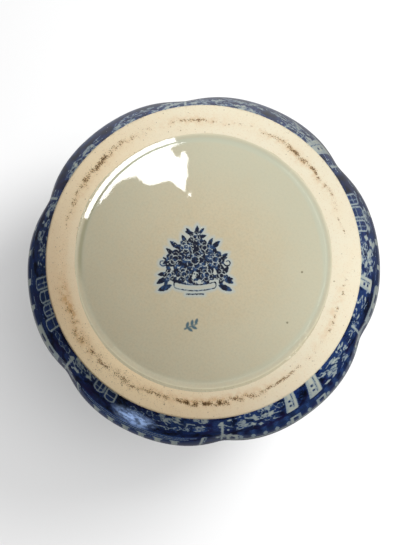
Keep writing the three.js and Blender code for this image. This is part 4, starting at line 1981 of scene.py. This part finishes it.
@dataclass
class Foot:
    """The broad bare ring that the vase stands on."""

    clay: Material
    inner_radius: float = 65.0
    lip_rise: float = 0.2
    contact_inner: float = 69.0
    contact_outer: float = 73.5
    edge_rise: float = 0.3
    edge_bevel: float = 0.9
    back_bevel: float = 0.15
    overlap: float = 4.0
    wear_radius: float = 72.4
    stain_width: float = 2.3
    shade_direction: float = 38.0
    bead_direction: float = 154.0
    bead_half_width: float = 17.0
    bead_reach: float = 1.1
    steps: int = 720
    # Direction in the picture and half width in degrees, strength, spread in millimetres, dashing
    wear_arcs: tuple[tuple[float, ...], ...] = (
        *((-92.0, 30.0, 1.0, 1.7, 0.0), (-58.0, 14.0, 0.9, 1.1, 0.2), (-24.0, 22.0, 0.95, 0.9, 0.9)),
        *((14.0, 8.0, 0.8, 0.6, 0.4), (45.0, 22.0, 0.9, 1.3, 0.1), (74.0, 8.0, 0.6, 0.8, 0.5)),
        *((93.0, 10.0, 1.0, 0.9, 0.2), (136.0, 24.0, 0.95, 1.9, 0.1), (162.0, 8.0, 0.6, 1.0, 0.4)),
        *((205.0, 14.0, 0.8, 0.9, 0.2), (232.0, 26.0, 0.75, 1.4, 0.0), (222.0, 46.0, 0.46, 5.0, 0.0)),
        *((120.0, 60.0, 0.16, 3.4, 0.0), (-40.0, 36.0, 0.14, 3.0, 0.0)),
    )
    # Direction, half width, strength and how far from the axis the stained clay lies
    stain_patches: tuple[tuple[float, ...], ...] = (
        *((199.0, 9.0, 0.9, 71.6), (212.0, 9.0, 0.7, 72.5), (92.0, 16.0, 0.4, 72.4)),
        *((45.0, 22.0, 0.45, 71.8), (-92.0, 30.0, 0.5, 71.2), (140.0, 20.0, 0.35, 71.4)),
        (-24.0, 16.0, 0.3, 71.0),
    )
    # Direction, half width and strength of the painted light that brightens the foot's shaded side
    painted_light_patches: tuple[tuple[float, ...], ...] = ((232.0, 34.0, 1.0), (142.0, 32.0, 0.55))

    def outline(self) -> list[Pair]:
        """Lists the ring's section: slopes, a flat contact band and a rounded outer edge."""
        radius, height = BODY.foot_radius, BODY.foot_height
        crest = radius - self.edge_bevel
        section: list[Pair] = []
        for share in np.linspace(0, 1, 12):
            inner = between(self.inner_radius, self.contact_inner, share)
            section.append((inner, self.lip_rise * (1 - share) ** 1.2))
        for share in np.linspace(0, 1, 9)[1:]:
            section.append((between(self.contact_inner, self.contact_outer, share), 0.0))
        for share in np.linspace(0, 1, 12)[1:]:
            section.append((between(self.contact_outer, crest, share), self.edge_rise * share**1.3))
        for turn in np.linspace(0, math.pi / 2, 9)[1:]:
            rise = self.edge_rise + self.edge_bevel * (1 - math.cos(turn))
            section.append((crest + self.edge_bevel * math.sin(turn), rise))
        section.append((radius, (self.edge_rise + self.edge_bevel + height) / 2))
        section += [(radius, height - self.back_bevel), (radius - self.back_bevel, height)]
        section += [(radius - self.overlap, height), (self.inner_radius + 0.4, height)]
        section += [(self.inner_radius, height - 0.6), (self.inner_radius, self.lip_rise + 0.6)]
        return section

    def wear(self, points: Array) -> dict[str, Array]:
        """Works out where the foot is worn, stained or touched by glaze, and the painted shade and painted
        light of its side away from the light.

        Args:
            points: the ring's vertices in millimetres.

        Returns:
            The numbers for each vertex, by the names under which the clay reads them.
        """
        right, up = VIEW.flat(points)
        radius = np.hypot(right, up)
        direction = np.degrees(np.arctan2(up, right))
        wander = Ripple(11, 60).at(points) * 0.3 + Ripple(12, 12).at(points) * 0.5
        clumps = np.clip(0.9 + 0.45 * Ripple(13, 4).at(points), 0.2, 1.1)
        dashes = 0.5 + 0.5 * np.sin(direction * 2.3 + 2.0 * Ripple(14, 30).at(points) + 0.35 * (radius - 70))
        wear, stain, painted_light = np.zeros((3, len(points)))
        for centre, half_width, strength, spread, dashing in self.wear_arcs:
            here = np.clip(1.25 - turn_between(direction, centre) / half_width, 0, 1) ** 0.6
            here = here * (1 - dashing * dashes) * bell(radius - wander, self.wear_radius, spread)
            wear = np.maximum(wear, strength * here * clumps)
        for centre, half_width, strength, middle in self.stain_patches:
            here = bell(turn_between(direction, centre), 0, half_width)
            stain = np.maximum(stain, strength * here * bell(radius - wander, middle, self.stain_width))
        # Painted light: patches of paler clay on the side away from the light
        for centre, half_width, strength in self.painted_light_patches:
            painted_light = painted_light + strength * bell(turn_between(direction, centre), 0, half_width)
        # Painted shade: the side away from the light is tinted pink
        shady = 0.5 - 0.5 * np.cos(np.radians(direction - self.shade_direction))
        shade_blush = shady**2.5 * (0.6 + 0.6 * smoothstep(radius, 67, 71))
        beads = self.bead_reach * bell(turn_between(direction, self.bead_direction), 0, self.bead_half_width)
        glaze_line = self.inner_radius + 1.4 * smoothstep(-up / radius, 0.1, 1.0) + beads + 0.2 * wander
        glazed = smoothstep(glaze_line - radius, -0.5, 0.5)
        return {"wear": wear, "stain": stain, "shade_blush": shade_blush, "glazed": glazed, "painted_light": painted_light}

    def build(self) -> Piece:
        """Turns the ring, evens it by hand and dresses it."""
        piece = turned("foot_ring_clay", self.outline(), self.steps)
        points = points_of(piece)
        uneven = 0.05 + 0.05 * Ripple(3, 34).at(points) + 0.03 * Ripple(4, 7).at(points)
        low = points[:, 2] < self.lip_rise + 0.5
        points[:, 2] += np.where(low, np.clip(uneven, 0.0, 0.3), 0.0)
        move_points(piece, points)
        for name, values in self.wear(points).items():
            store(piece, name, values)
        smooth(piece, 50)
        piece.data.materials.append(self.clay)
        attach(piece, "root")
        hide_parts("foot_ring")
        return piece


@dataclass
class Base:
    """The glazed floor of the recess, with the cove that meets the foot and the mark under the glaze."""

    glaze: Material
    thickness: float = 7.0
    steps: int = 480
    fine_radius: float = 40.0
    fine_pitch: float = 0.42
    edge_overlap: float = 0.5
    mark_right: float = -4.3
    mark_up: float = -0.6
    brush_right: float = -6.2
    brush_up: float = -33.2
    pool_direction: float = 48.0
    dull_direction: float = -45.0
    olive_direction: float = 165.0
    # Right, up and radius of the mark's flowers
    flowers: tuple[tuple[float, float, float], ...] = (
        *((0.0, 12.6, 3.4), (-4.6, 7.4, 4.0), (4.8, 7.0, 4.0), (0.0, 0.6, 6.2), (-10.0, 1.4, 4.7)),
        *((10.2, 1.0, 4.7), (-5.6, -6.6, 4.4), (6.0, -6.8, 4.4), (-13.0, -7.0, 3.6), (13.4, -7.2, 3.6)),
    )

    def outline(self) -> list[Pair]:
        """Lists the section from the axis along the underside, up round the edge and back inside."""
        dome = BASE_DOME
        radii = [self.fine_pitch * index for index in range(int(self.fine_radius / self.fine_pitch) + 1)]
        radii += list(np.linspace(radii[-1], dome.cove_radius, 22)[1:])
        section = [(radius, float(dome.height(radius))) for radius in radii]
        for share in np.linspace(0, 1, 12)[1:]:
            height = between(dome.edge_height, dome.lip_height, smoothstep(share, -0.12, 1.0))
            section.append((between(dome.cove_radius, dome.lip_radius, share), height))
        back = BODY.foot_height + self.thickness
        edge = dome.lip_radius + self.edge_overlap
        section += [(edge, dome.lip_height + 0.9), (edge, BODY.foot_height + 0.5), (edge, back - 1)]
        section.append((edge - 1, back))
        return section + [(dome.lip_radius * share, back) for share in (0.8, 0.6, 0.4, 0.2, 0.0)]

    def draw_mark(self, right: Array, up: Array) -> Array:
        """Draws a generic heap of garden flowers and leaves over a plain ribbon.

        Args:
            right: how far right of the mark's centre each vertex lies.
            up: how far up it lies.

        Returns:
            The distance to the print, negative in it.
        """
        stencil = Stencil(right, up)
        chance = np.random.default_rng(21)
        for x, y, size in self.flowers:
            for turn in range(5):
                angle = 72 * turn + 9 * x
                leaf_x, leaf_y = polar(0.95 * size, angle)
                stencil.bare(x + leaf_x, y + leaf_y, 4, vesica(2.7, 1.0, angle + 15))
            stencil.bare(x, y, size, blossom(size, 5, 20 * x))
        for _ in range(240):
            y = chance.uniform(-11.5, 12)
            x = chance.normal(0, 0.42) * (15.5 - 0.75 * (y + 11.5) * 0.9)
            stencil.bare(x, y, 1, disc(chance.uniform(0.3, 0.6)))
        for side in (-1, 1):
            stencil.bare(side * 16.4, -0.6, 4, scroll(2.5, 1.2, 0.8, side, 90))
            stencil.bare(side * 16.6, -9.6, 5, vesica(3.4, 1.3, 90 + 60 * side))
            stencil.bare(side * 15.2, -13.4, 5, vesica(3.8, 1.4, -22 * side))
            stencil.bare(side * 10.4, 8.4, 4, vesica(3.0, 1.2, 90 - 48 * side))
            stencil.bare(side * 3.2, 15.4, 3, vesica(2.0, 0.8, 90 - 40 * side))
        for x, y, size in self.flowers:
            for turn in range(5):
                vein = polar(0.42 * size, 72 * turn + 20 * x + 36)
                stencil.blue(x + vein[0], y + vein[1], size, stroke(vein, 0.5, 0.28))
            stencil.blue(x, y, size, hoop(size * 0.33, 0.42))
            stencil.blue(x, y, size, outlined(blossom(size * 0.72, 5, 20 * x), 0.26))
        for _ in range(110):
            place = (chance.uniform(-14, 14), chance.uniform(-11, 12))
            stencil.blue(*place, 1, disc(chance.uniform(0.18, 0.36)))
        ribbon = block(10.6, 1.5, 1.0)

        def hanging(x: Array, y: Array) -> Array:
            """The ribbon, which sags in the middle."""
            return ribbon(x, y + 1.6 * (1 - (x / 10.6) ** 2))

        stencil.blue(0, -11.8, 12, hanging)
        stencil.bare(0, -11.8, 12, outlined(hanging, 0.5))
        stencil.bare(0, -16.6, 6, block(4.6, 0.3))
        return stencil.edge

    def draw_brush(self, right: Array, up: Array) -> Array:
        """Draws a small painted sprig.

        Args:
            right: how far right of the sprig's middle each vertex lies.
            up: how far up it lies.

        Returns:
            The distance to the paint, negative in it.
        """
        stencil = Stencil(right, up)
        stencil.bare(-3.2, -1.6, 8, stroke((6.2, 2.6), 0.9, 0.5))
        leaves = ((-1.9, 0.5, 75), (-0.6, -1.9, -35), (0.4, 1.5, 80), (1.5, -0.9, -25), (2.6, 2.2, 70))
        for x, y, lean in leaves:
            stencil.bare(x, y, 3, vesica(1.7, 0.75, lean))
        return stencil.edge

    def build(self) -> Piece:
        """Turns the panel, lets it sag a little, and lays the mark under its glaze."""
        piece = turned("base_panel_glaze", self.outline(), self.steps, on_axis=True)
        points = points_of(piece)
        right, up = VIEW.flat(points)
        radius = np.hypot(right, up)
        direction = np.degrees(np.arctan2(up, right))
        underside = points[:, 2] < BODY.foot_height
        cove = BASE_DOME.cove_radius
        sag = 0.008 * Ripple(5, 30).at(points) + 0.0015 * Ripple(6, 7).at(points)
        points[:, 2] += np.where(underside, sag * (1 - smoothstep(radius, cove - 6, cove)), 0.0)
        move_points(piece, points)
        drift = 0.6 * Ripple(8, 45).at(points)
        rim = smoothstep(radius + drift, cove - 2.6, cove - 0.4) * (1 - smoothstep(radius, cove, cove + 1.4))
        greener = 0.5 + 0.5 * np.cos(np.radians(direction - self.pool_direction))
        shaded = 0.5 + 0.5 * np.cos(np.radians(direction - self.dull_direction))
        crescent = smoothstep(radius, cove - 1.4, cove + 0.2)
        crescent = crescent * (1 - smoothstep(radius, cove + 0.8, cove + 1.9))
        aside = smoothstep(turn_between(direction, self.olive_direction), 14, 30)
        finish = {
            "pool": (0.15 + 0.5 * greener) * smoothstep(radius, 20, 58) + rim * (0.2 + 0.5 * greener),
            "dull": smoothstep(radius, cove - 1.5, cove) * smoothstep(shaded, 0.25, 0.6),
            "olive": 0.55 * crescent * (1 - aside),
            "cove": smoothstep(radius, cove + 1.6, cove + 3.0),
        }
        for name, values in finish.items():
            store(piece, name, np.where(underside, values, 0.0))
        store(piece, "mark_edge", self.draw_mark(right - self.mark_right, up - self.mark_up))
        store(piece, "brush_edge", self.draw_brush(right - self.brush_right, up - self.brush_up))
        smooth(piece, 40)
        piece.data.materials.append(self.glaze)
        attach(piece, "root")
        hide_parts("base_panel")
        return piece


@dataclass
class WallZone:
    """One zone of the lobed wall between two level planes of the frame."""

    node: str
    piece_name: str
    glaze: Material
    outer_pitch: float = 0.78
    inner_pitch: float = 6.0
    mouth_pitch: float = 0.9
    lipped: bool = False
    steps: int = 760

    def heights(self, low: float, high: float, pitch: float) -> Array:
        """Spreads heights so that the rings lie evenly along the wall.

        Args:
            low: the lowest height.
            high: the highest height.
            pitch: about how far apart the rings lie along the wall.

        Returns:
            The heights.
        """
        start, end = BODY.along(np.array((low, high)))
        count = max(2, int(round((end - start) / pitch)))
        table = BODY.stations()
        return np.interp(np.linspace(start, end, count + 1), BODY.along(table[:, 1]), table[:, 1])

    def outline(self, low: float, high: float) -> list[Pair]:
        """Lists the wall's section: up the outer face, over the lip if there is one, down inside.

        Args:
            low: the zone's lower plane.
            high: its upper plane, or where the lip's round starts.

        Returns:
            The section's points.
        """
        outer = self.heights(low, high, self.outer_pitch)
        section = list(zip(BODY.radius(outer), outer))
        if self.lipped:
            outside, inside = float(BODY.radius(high)), float(BODY.inner_radius(high))
            for turn in np.linspace(0, math.pi, 11)[1:-1]:
                radius = (outside + inside) / 2 + (outside - inside) / 2 * math.cos(turn)
                section.append((radius, high + BODY.lip_round * math.sin(turn)))
        inner = self.heights(low, high, self.mouth_pitch if self.lipped else self.inner_pitch)[::-1]
        return section + list(zip(BODY.inner_radius(inner), inner))

    def build(self) -> Piece:
        """Turns the zone, prints it, presses its lobes in and dresses it."""
        low, high = (corner.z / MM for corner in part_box(self.node))
        if self.lipped:
            low, high = BODY.rim_start, BODY.rim_height - BODY.lip_round
        piece = turned(self.piece_name, self.outline(low, high), self.steps)
        points = points_of(piece)
        angle = np.arctan2(points[:, 1], points[:, 0])
        height = np.minimum(points[:, 2], BODY.rim_height)
        middle = (BODY.radius(height) + BODY.inner_radius(height)) / 2
        outside = np.hypot(points[:, 0], points[:, 1]) > middle
        edge, wash = TransferPrint().paint(angle, height, outside)
        move_points(piece, BODY.press_lobes(points))
        store(piece, "print_edge", edge)
        store(piece, "print_wash", wash)
        smooth(piece, 40)
        piece.data.materials.append(self.glaze)
        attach(piece, "root")
        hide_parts(self.node)
        return piece


@dataclass
class Handle:
    """One ear-shaped handle with a leaf on its crown, and the slip that joins its ends to the body."""

    side: str
    glaze: Material
    reach: float = 104.0
    top_drop: float = 19.0
    top_tilt: float = 7.0
    crown_rise: float = 20.0
    crown_inset: float = 22.0
    reach_drop: float = 29.0
    root_drop: float = 49.0
    root_reach: float = 31.0
    root_rise: float = 17.0
    quarter_round: float = 0.55
    sink: float = 12.0
    embedded: float = 3.0
    half_width: float = 7.8
    half_thickness: float = 4.5
    root_half_width: float = 10.6
    root_half_thickness: float = 7.0
    root_flare: float = 5.0
    ridge: float = 1.0
    flute: float = 0.7
    leaf_half_length: float = 17.0
    leaf_half_width: float = 7.5
    leaf_thickness: float = 2.2
    casting_grain: float = 0.62
    pad_half_width: float = 14.5
    upper_pad_half_height: float = 12.5
    lower_pad_half_height: float = 19.0
    lower_pad_drop: float = 5.0
    pad_proud: float = 5.0
    pad_inner_share: float = 0.5
    stations: int = 170
    sides: int = 56

    def ends(self) -> Pair:
        """Gives the heights at which the bar meets the neck and the shoulder."""
        return BODY.rim_start - self.top_drop, BODY.neck_height - self.root_drop

    def path(self) -> Array:
        """Samples the loop's centre line, evenly spaced, as distance from the axis and height."""
        top, low = self.ends()
        crown_x, crown_z = self.reach - self.crown_inset, top + self.crown_rise
        side_z = crown_z - self.reach_drop
        neck_end = BODY.groove_radius(top) - self.sink
        root_end = BODY.groove_radius(low) - self.sink
        points = (
            (neck_end, top - self.top_tilt),
            (neck_end + self.sink, top + self.top_tilt),
            (crown_x - self.crown_inset * self.quarter_round, crown_z),
            (crown_x, crown_z),
            (crown_x + self.crown_inset * self.quarter_round, crown_z),
            (self.reach, side_z + self.reach_drop * self.quarter_round),
            (self.reach, side_z),
            (self.reach, side_z - (side_z - low) * self.quarter_round),
            (root_end + self.root_reach, low + self.root_rise),
            (root_end, low),
        )
        dense = joined(points, 200)
        sunk = BODY.lobe_depth(dense[:, 1]) * BODY.groove(np.array(0.0))
        dense = dense[dense[:, 0] > BODY.radius(dense[:, 1]) * (1 - sunk) - self.embedded]
        lengths = lengths_along(dense)
        even = np.linspace(0, lengths[-1], self.stations + 1)
        return np.column_stack([np.interp(even, lengths, dense[:, axis]) for axis in (0, 1)])

    def normals(self, path: Array) -> Array:
        """Gives the direction out of the loop at each point of its path."""
        tangent = np.gradient(path, axis=0)
        tangent /= np.linalg.norm(tangent, axis=1)[:, None]
        return np.column_stack([-tangent[:, 1], tangent[:, 0]])

    def bar(self) -> Piece:
        """Extrudes a tube and lays it along the path, ridged outside and fluted beside the ridge."""
        piece = circle(f"handle_{self.side}_casting", self.sides, 1 / MM, "NGON")
        with edit_mode(piece):
            bpy.ops.mesh.select_mode(type="FACE")
            bpy.ops.mesh.select_all(action="SELECT")
            for _ in range(self.stations):
                bpy.ops.mesh.extrude_region_move(TRANSFORM_OT_translate={"value": (0, 0, 1.0)})
        rings = points_of(piece) * MM
        station = np.clip(np.round(rings[:, 2]).astype(int), 0, self.stations)
        around = np.arctan2(rings[:, 1], rings[:, 0])
        flare = np.abs(2 * station / self.stations - 1) ** self.root_flare
        half_width = between(self.half_width, self.root_half_width, flare)
        half_thickness = between(self.half_thickness, self.root_half_thickness, flare)
        inward, sideways = np.cos(around), np.sin(around)
        outer = np.clip(-inward, 0, 1)
        ridge = self.ridge * outer * bell(sideways, 0, 0.26)
        flute = self.flute * outer * bell(np.abs(sideways), 0.55, 0.2)
        depth = inward * (half_thickness + (ridge - flute) * (1 - flare))
        path = self.path()
        place = path[station] - self.normals(path)[station] * depth[:, None]
        move_points(piece, np.column_stack([place[:, 0], half_width * sideways, place[:, 1]]))
        return piece

    def leaf(self) -> Piece:
        """Shapes the leaf that lies on the crown: lobed, ribbed, with its tip curled up."""
        bpy.ops.object.select_all(action="DESELECT")
        bpy.ops.mesh.primitive_grid_add(x_subdivisions=60, y_subdivisions=28, size=2.0)
        piece = bpy.context.object
        piece.name = f"handle_{self.side}_leaf"
        along, side, _ = points_of(piece).T * MM
        share = (along + 1) / 2
        lobes = 1 + 0.16 * np.abs(np.sin(share * math.pi * 4.5))
        width = self.leaf_half_width * np.sin(math.pi * np.clip(share * 0.94 + 0.03, 0, 1)) ** 0.55 * lobes
        sideways = side * width
        path = self.path()
        lengths = lengths_along(path)
        crown = lengths[int(np.argmax(path[:, 1]))]
        station = np.clip(crown + 1 + along * self.leaf_half_length, 0, lengths[-1])
        aside = sideways / (self.half_width * 1.25)
        hugging = self.half_thickness * np.sqrt(np.clip(1 - aside**2, 0.05, 1))
        veins = 0.35 * np.cos(share * math.pi * 18 - np.abs(side) * 5) * (1 - share)
        curl = 2.88 * (np.clip(share - 0.72, 0, 1) / 0.28) ** 1.5
        lift = hugging + 0.9 + (0.9 * bell(sideways, 0, 1.1) + veins) * (1 - np.abs(side) ** 4) + curl
        lift = lift - 1.2 * (1 - smoothstep(share, 0.0, 0.12))
        place = [
            np.interp(station, lengths, path[:, axis]) + np.interp(station, lengths, normal) * lift
            for axis, normal in enumerate(self.normals(path).T)
        ]
        move_points(piece, np.column_stack([place[0], sideways, place[1]]))
        apply_modifier(piece, "SOLIDIFY", thickness=self.leaf_thickness * MM, offset=-1.0)
        return piece

    def casting(self) -> Piece:
        """Fuses the bar and its leaf into one casting, as the mould does."""
        bar, leaf = self.bar(), self.leaf()
        face_outwards(bar)
        face_outwards(leaf)
        choose(bar)
        leaf.select_set(True)
        bpy.ops.object.join()
        apply_modifier(bar, "REMESH", mode="VOXEL", voxel_size=self.casting_grain * MM)
        apply_modifier(bar, "SMOOTH", factor=0.5, iterations=4)
        return bar

    def relief(self, points: Array) -> Array:
        """Gives how proud of the bar's plain oval each vertex stands, from 0 to 1.

        Args:
            points: vertices in millimetres.

        Returns:
            The numbers.
        """
        best = np.full(len(points), 1e9)
        for station in self.path()[::2]:
            best = np.minimum(best, np.hypot(*(points[:, [0, 2]] - station).T))
        oval = self.half_thickness * np.sqrt(np.clip(1 - (points[:, 1] / self.half_width) ** 2, 0, 1))
        return np.clip((best - oval - 0.2) / 2.2, 0.0, 1.0)

    def root(
        self, name: str, centre: float, half_height: float, bar_centre: float, bar_half_height: float
    ) -> Piece:
        """Shapes the slip round one handle end: a fillet that runs out on the wall.

        Args:
            name: the new piece's name.
            centre: the fillet's middle height on the wall.
            half_height: half the fillet's height there.
            bar_centre: the height at which the bar meets the wall.
            bar_half_height: half the bar's height there.

        Returns:
            The piece.
        """
        inner_share = self.pad_inner_share
        section = [(share * inner_share, 1.0) for share in (0.0, 0.4, 0.8)]
        section += [(between(inner_share, 1.0, share), 1.0) for share in np.linspace(0, 1, 16)]
        section += [(0.8, 0.0), (0.4, 0.0), (0.0, 0.0)]
        piece = turned(name, section, 72, on_axis=True)
        points = points_of(piece)
        out = np.hypot(points[:, 0], points[:, 1])
        around = np.arctan2(points[:, 1], points[:, 0])
        share = np.clip((out - inner_share) / (1 - inner_share), 0, 1)
        inside = np.clip(out / inner_share, 0, 1)
        bar_half_width = self.root_half_width - 0.6
        half_width = inside * bar_half_width + share * (self.pad_half_width - bar_half_width)
        tall = inside * bar_half_height + share * (half_height - bar_half_height)
        height = between(bar_centre, centre, share) + np.cos(around) * tall
        rise = self.pad_proud * (1 - np.sqrt(np.clip(1 - (1 - share) ** 2, 0, 1))) - 0.35
        depth = np.where(points[:, 2] > 0.5, rise, -3.0)
        surface, slope = BODY.radius(height), BODY.slope(height)
        turn = np.arctan2(np.sin(around) * half_width, surface)
        lean = np.hypot(1.0, slope)
        out = surface * (1 - BODY.lobe_depth(height) * BODY.groove(turn)) + depth / lean
        height = height - depth * slope / lean
        move_points(piece, np.column_stack([np.cos(turn) * out, np.sin(turn) * out, height]))
        face_outwards(piece)
        return piece

    def finish_piece(self, piece: Piece, node: str, relief: Array) -> Piece:
        """Turns a piece to its side of the vase and dresses it.

        Args:
            piece: the piece, made for the right side.
            node: the node of the frame that it replaces.
            relief: how proud each vertex stands.

        Returns:
            The piece.
        """
        points = points_of(piece)
        if self.side == "left":
            points[:, :2] *= -1
            move_points(piece, points)
        store(piece, "relief", relief)
        smooth(piece, 60)
        piece.data.materials.append(self.glaze)
        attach(piece, "root")
        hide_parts(node)
        return piece

    def build(self) -> list[Piece]:
        """Builds the casting and both of its joints."""
        casting = self.casting()
        pieces = [self.finish_piece(casting, f"handle_{self.side}", self.relief(points_of(casting)))]
        top, low = self.ends()
        joints = (
            ("upper", top, self.upper_pad_half_height, top + 2, 8.5),
            ("lower", low - self.lower_pad_drop, self.lower_pad_half_height, low + 2, 8.0),
        )
        slips = [(place, self.root(f"handle_{self.side}_{place}_slip", *sizes)) for place, *sizes in joints]
        for place, piece in slips:
            nothing = np.zeros(len(piece.data.vertices))
            pieces.append(self.finish_piece(piece, f"handle_{self.side}_{place}_root", nothing))
        return pieces


ZONES = (
    ("lower_belly_wall", "lower_belly_print"),
    ("upper_belly_wall", "upper_belly_print"),
    ("shoulder_wall", "shoulder_print"),
    ("lower_neck_wall", "lower_neck_print"),
    ("upper_neck_wall", "upper_neck_print"),
    ("rim_lip", "rim_print"),
)


def main() -> None:
    """Builds the studio and the vase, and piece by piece."""
    logging.basicConfig(level=logging.INFO, format="%(name)s: %(message)s")
    bpy.context.scene.view_settings.view_transform = "Standard"
    VIEW.build()
    Studio().build()
    printed = PrintedGlaze().build()
    sponged = HandleGlaze().build()
    pieces = [Foot(BareClay().build()).build(), Base(BaseGlaze().build()).build()]
    for node, piece_name in ZONES:
        pieces.append(WallZone(node, piece_name, printed, lipped=node == "rim_lip").build())
    for side in ("right", "left"):
        pieces += Handle(side, sponged).build()
    for piece in pieces:
        LOG.info("%s: %d faces", piece.name, len(piece.data.polygons))
    bpy.context.view_layer.update()


if __name__ == "__main__":
    main()
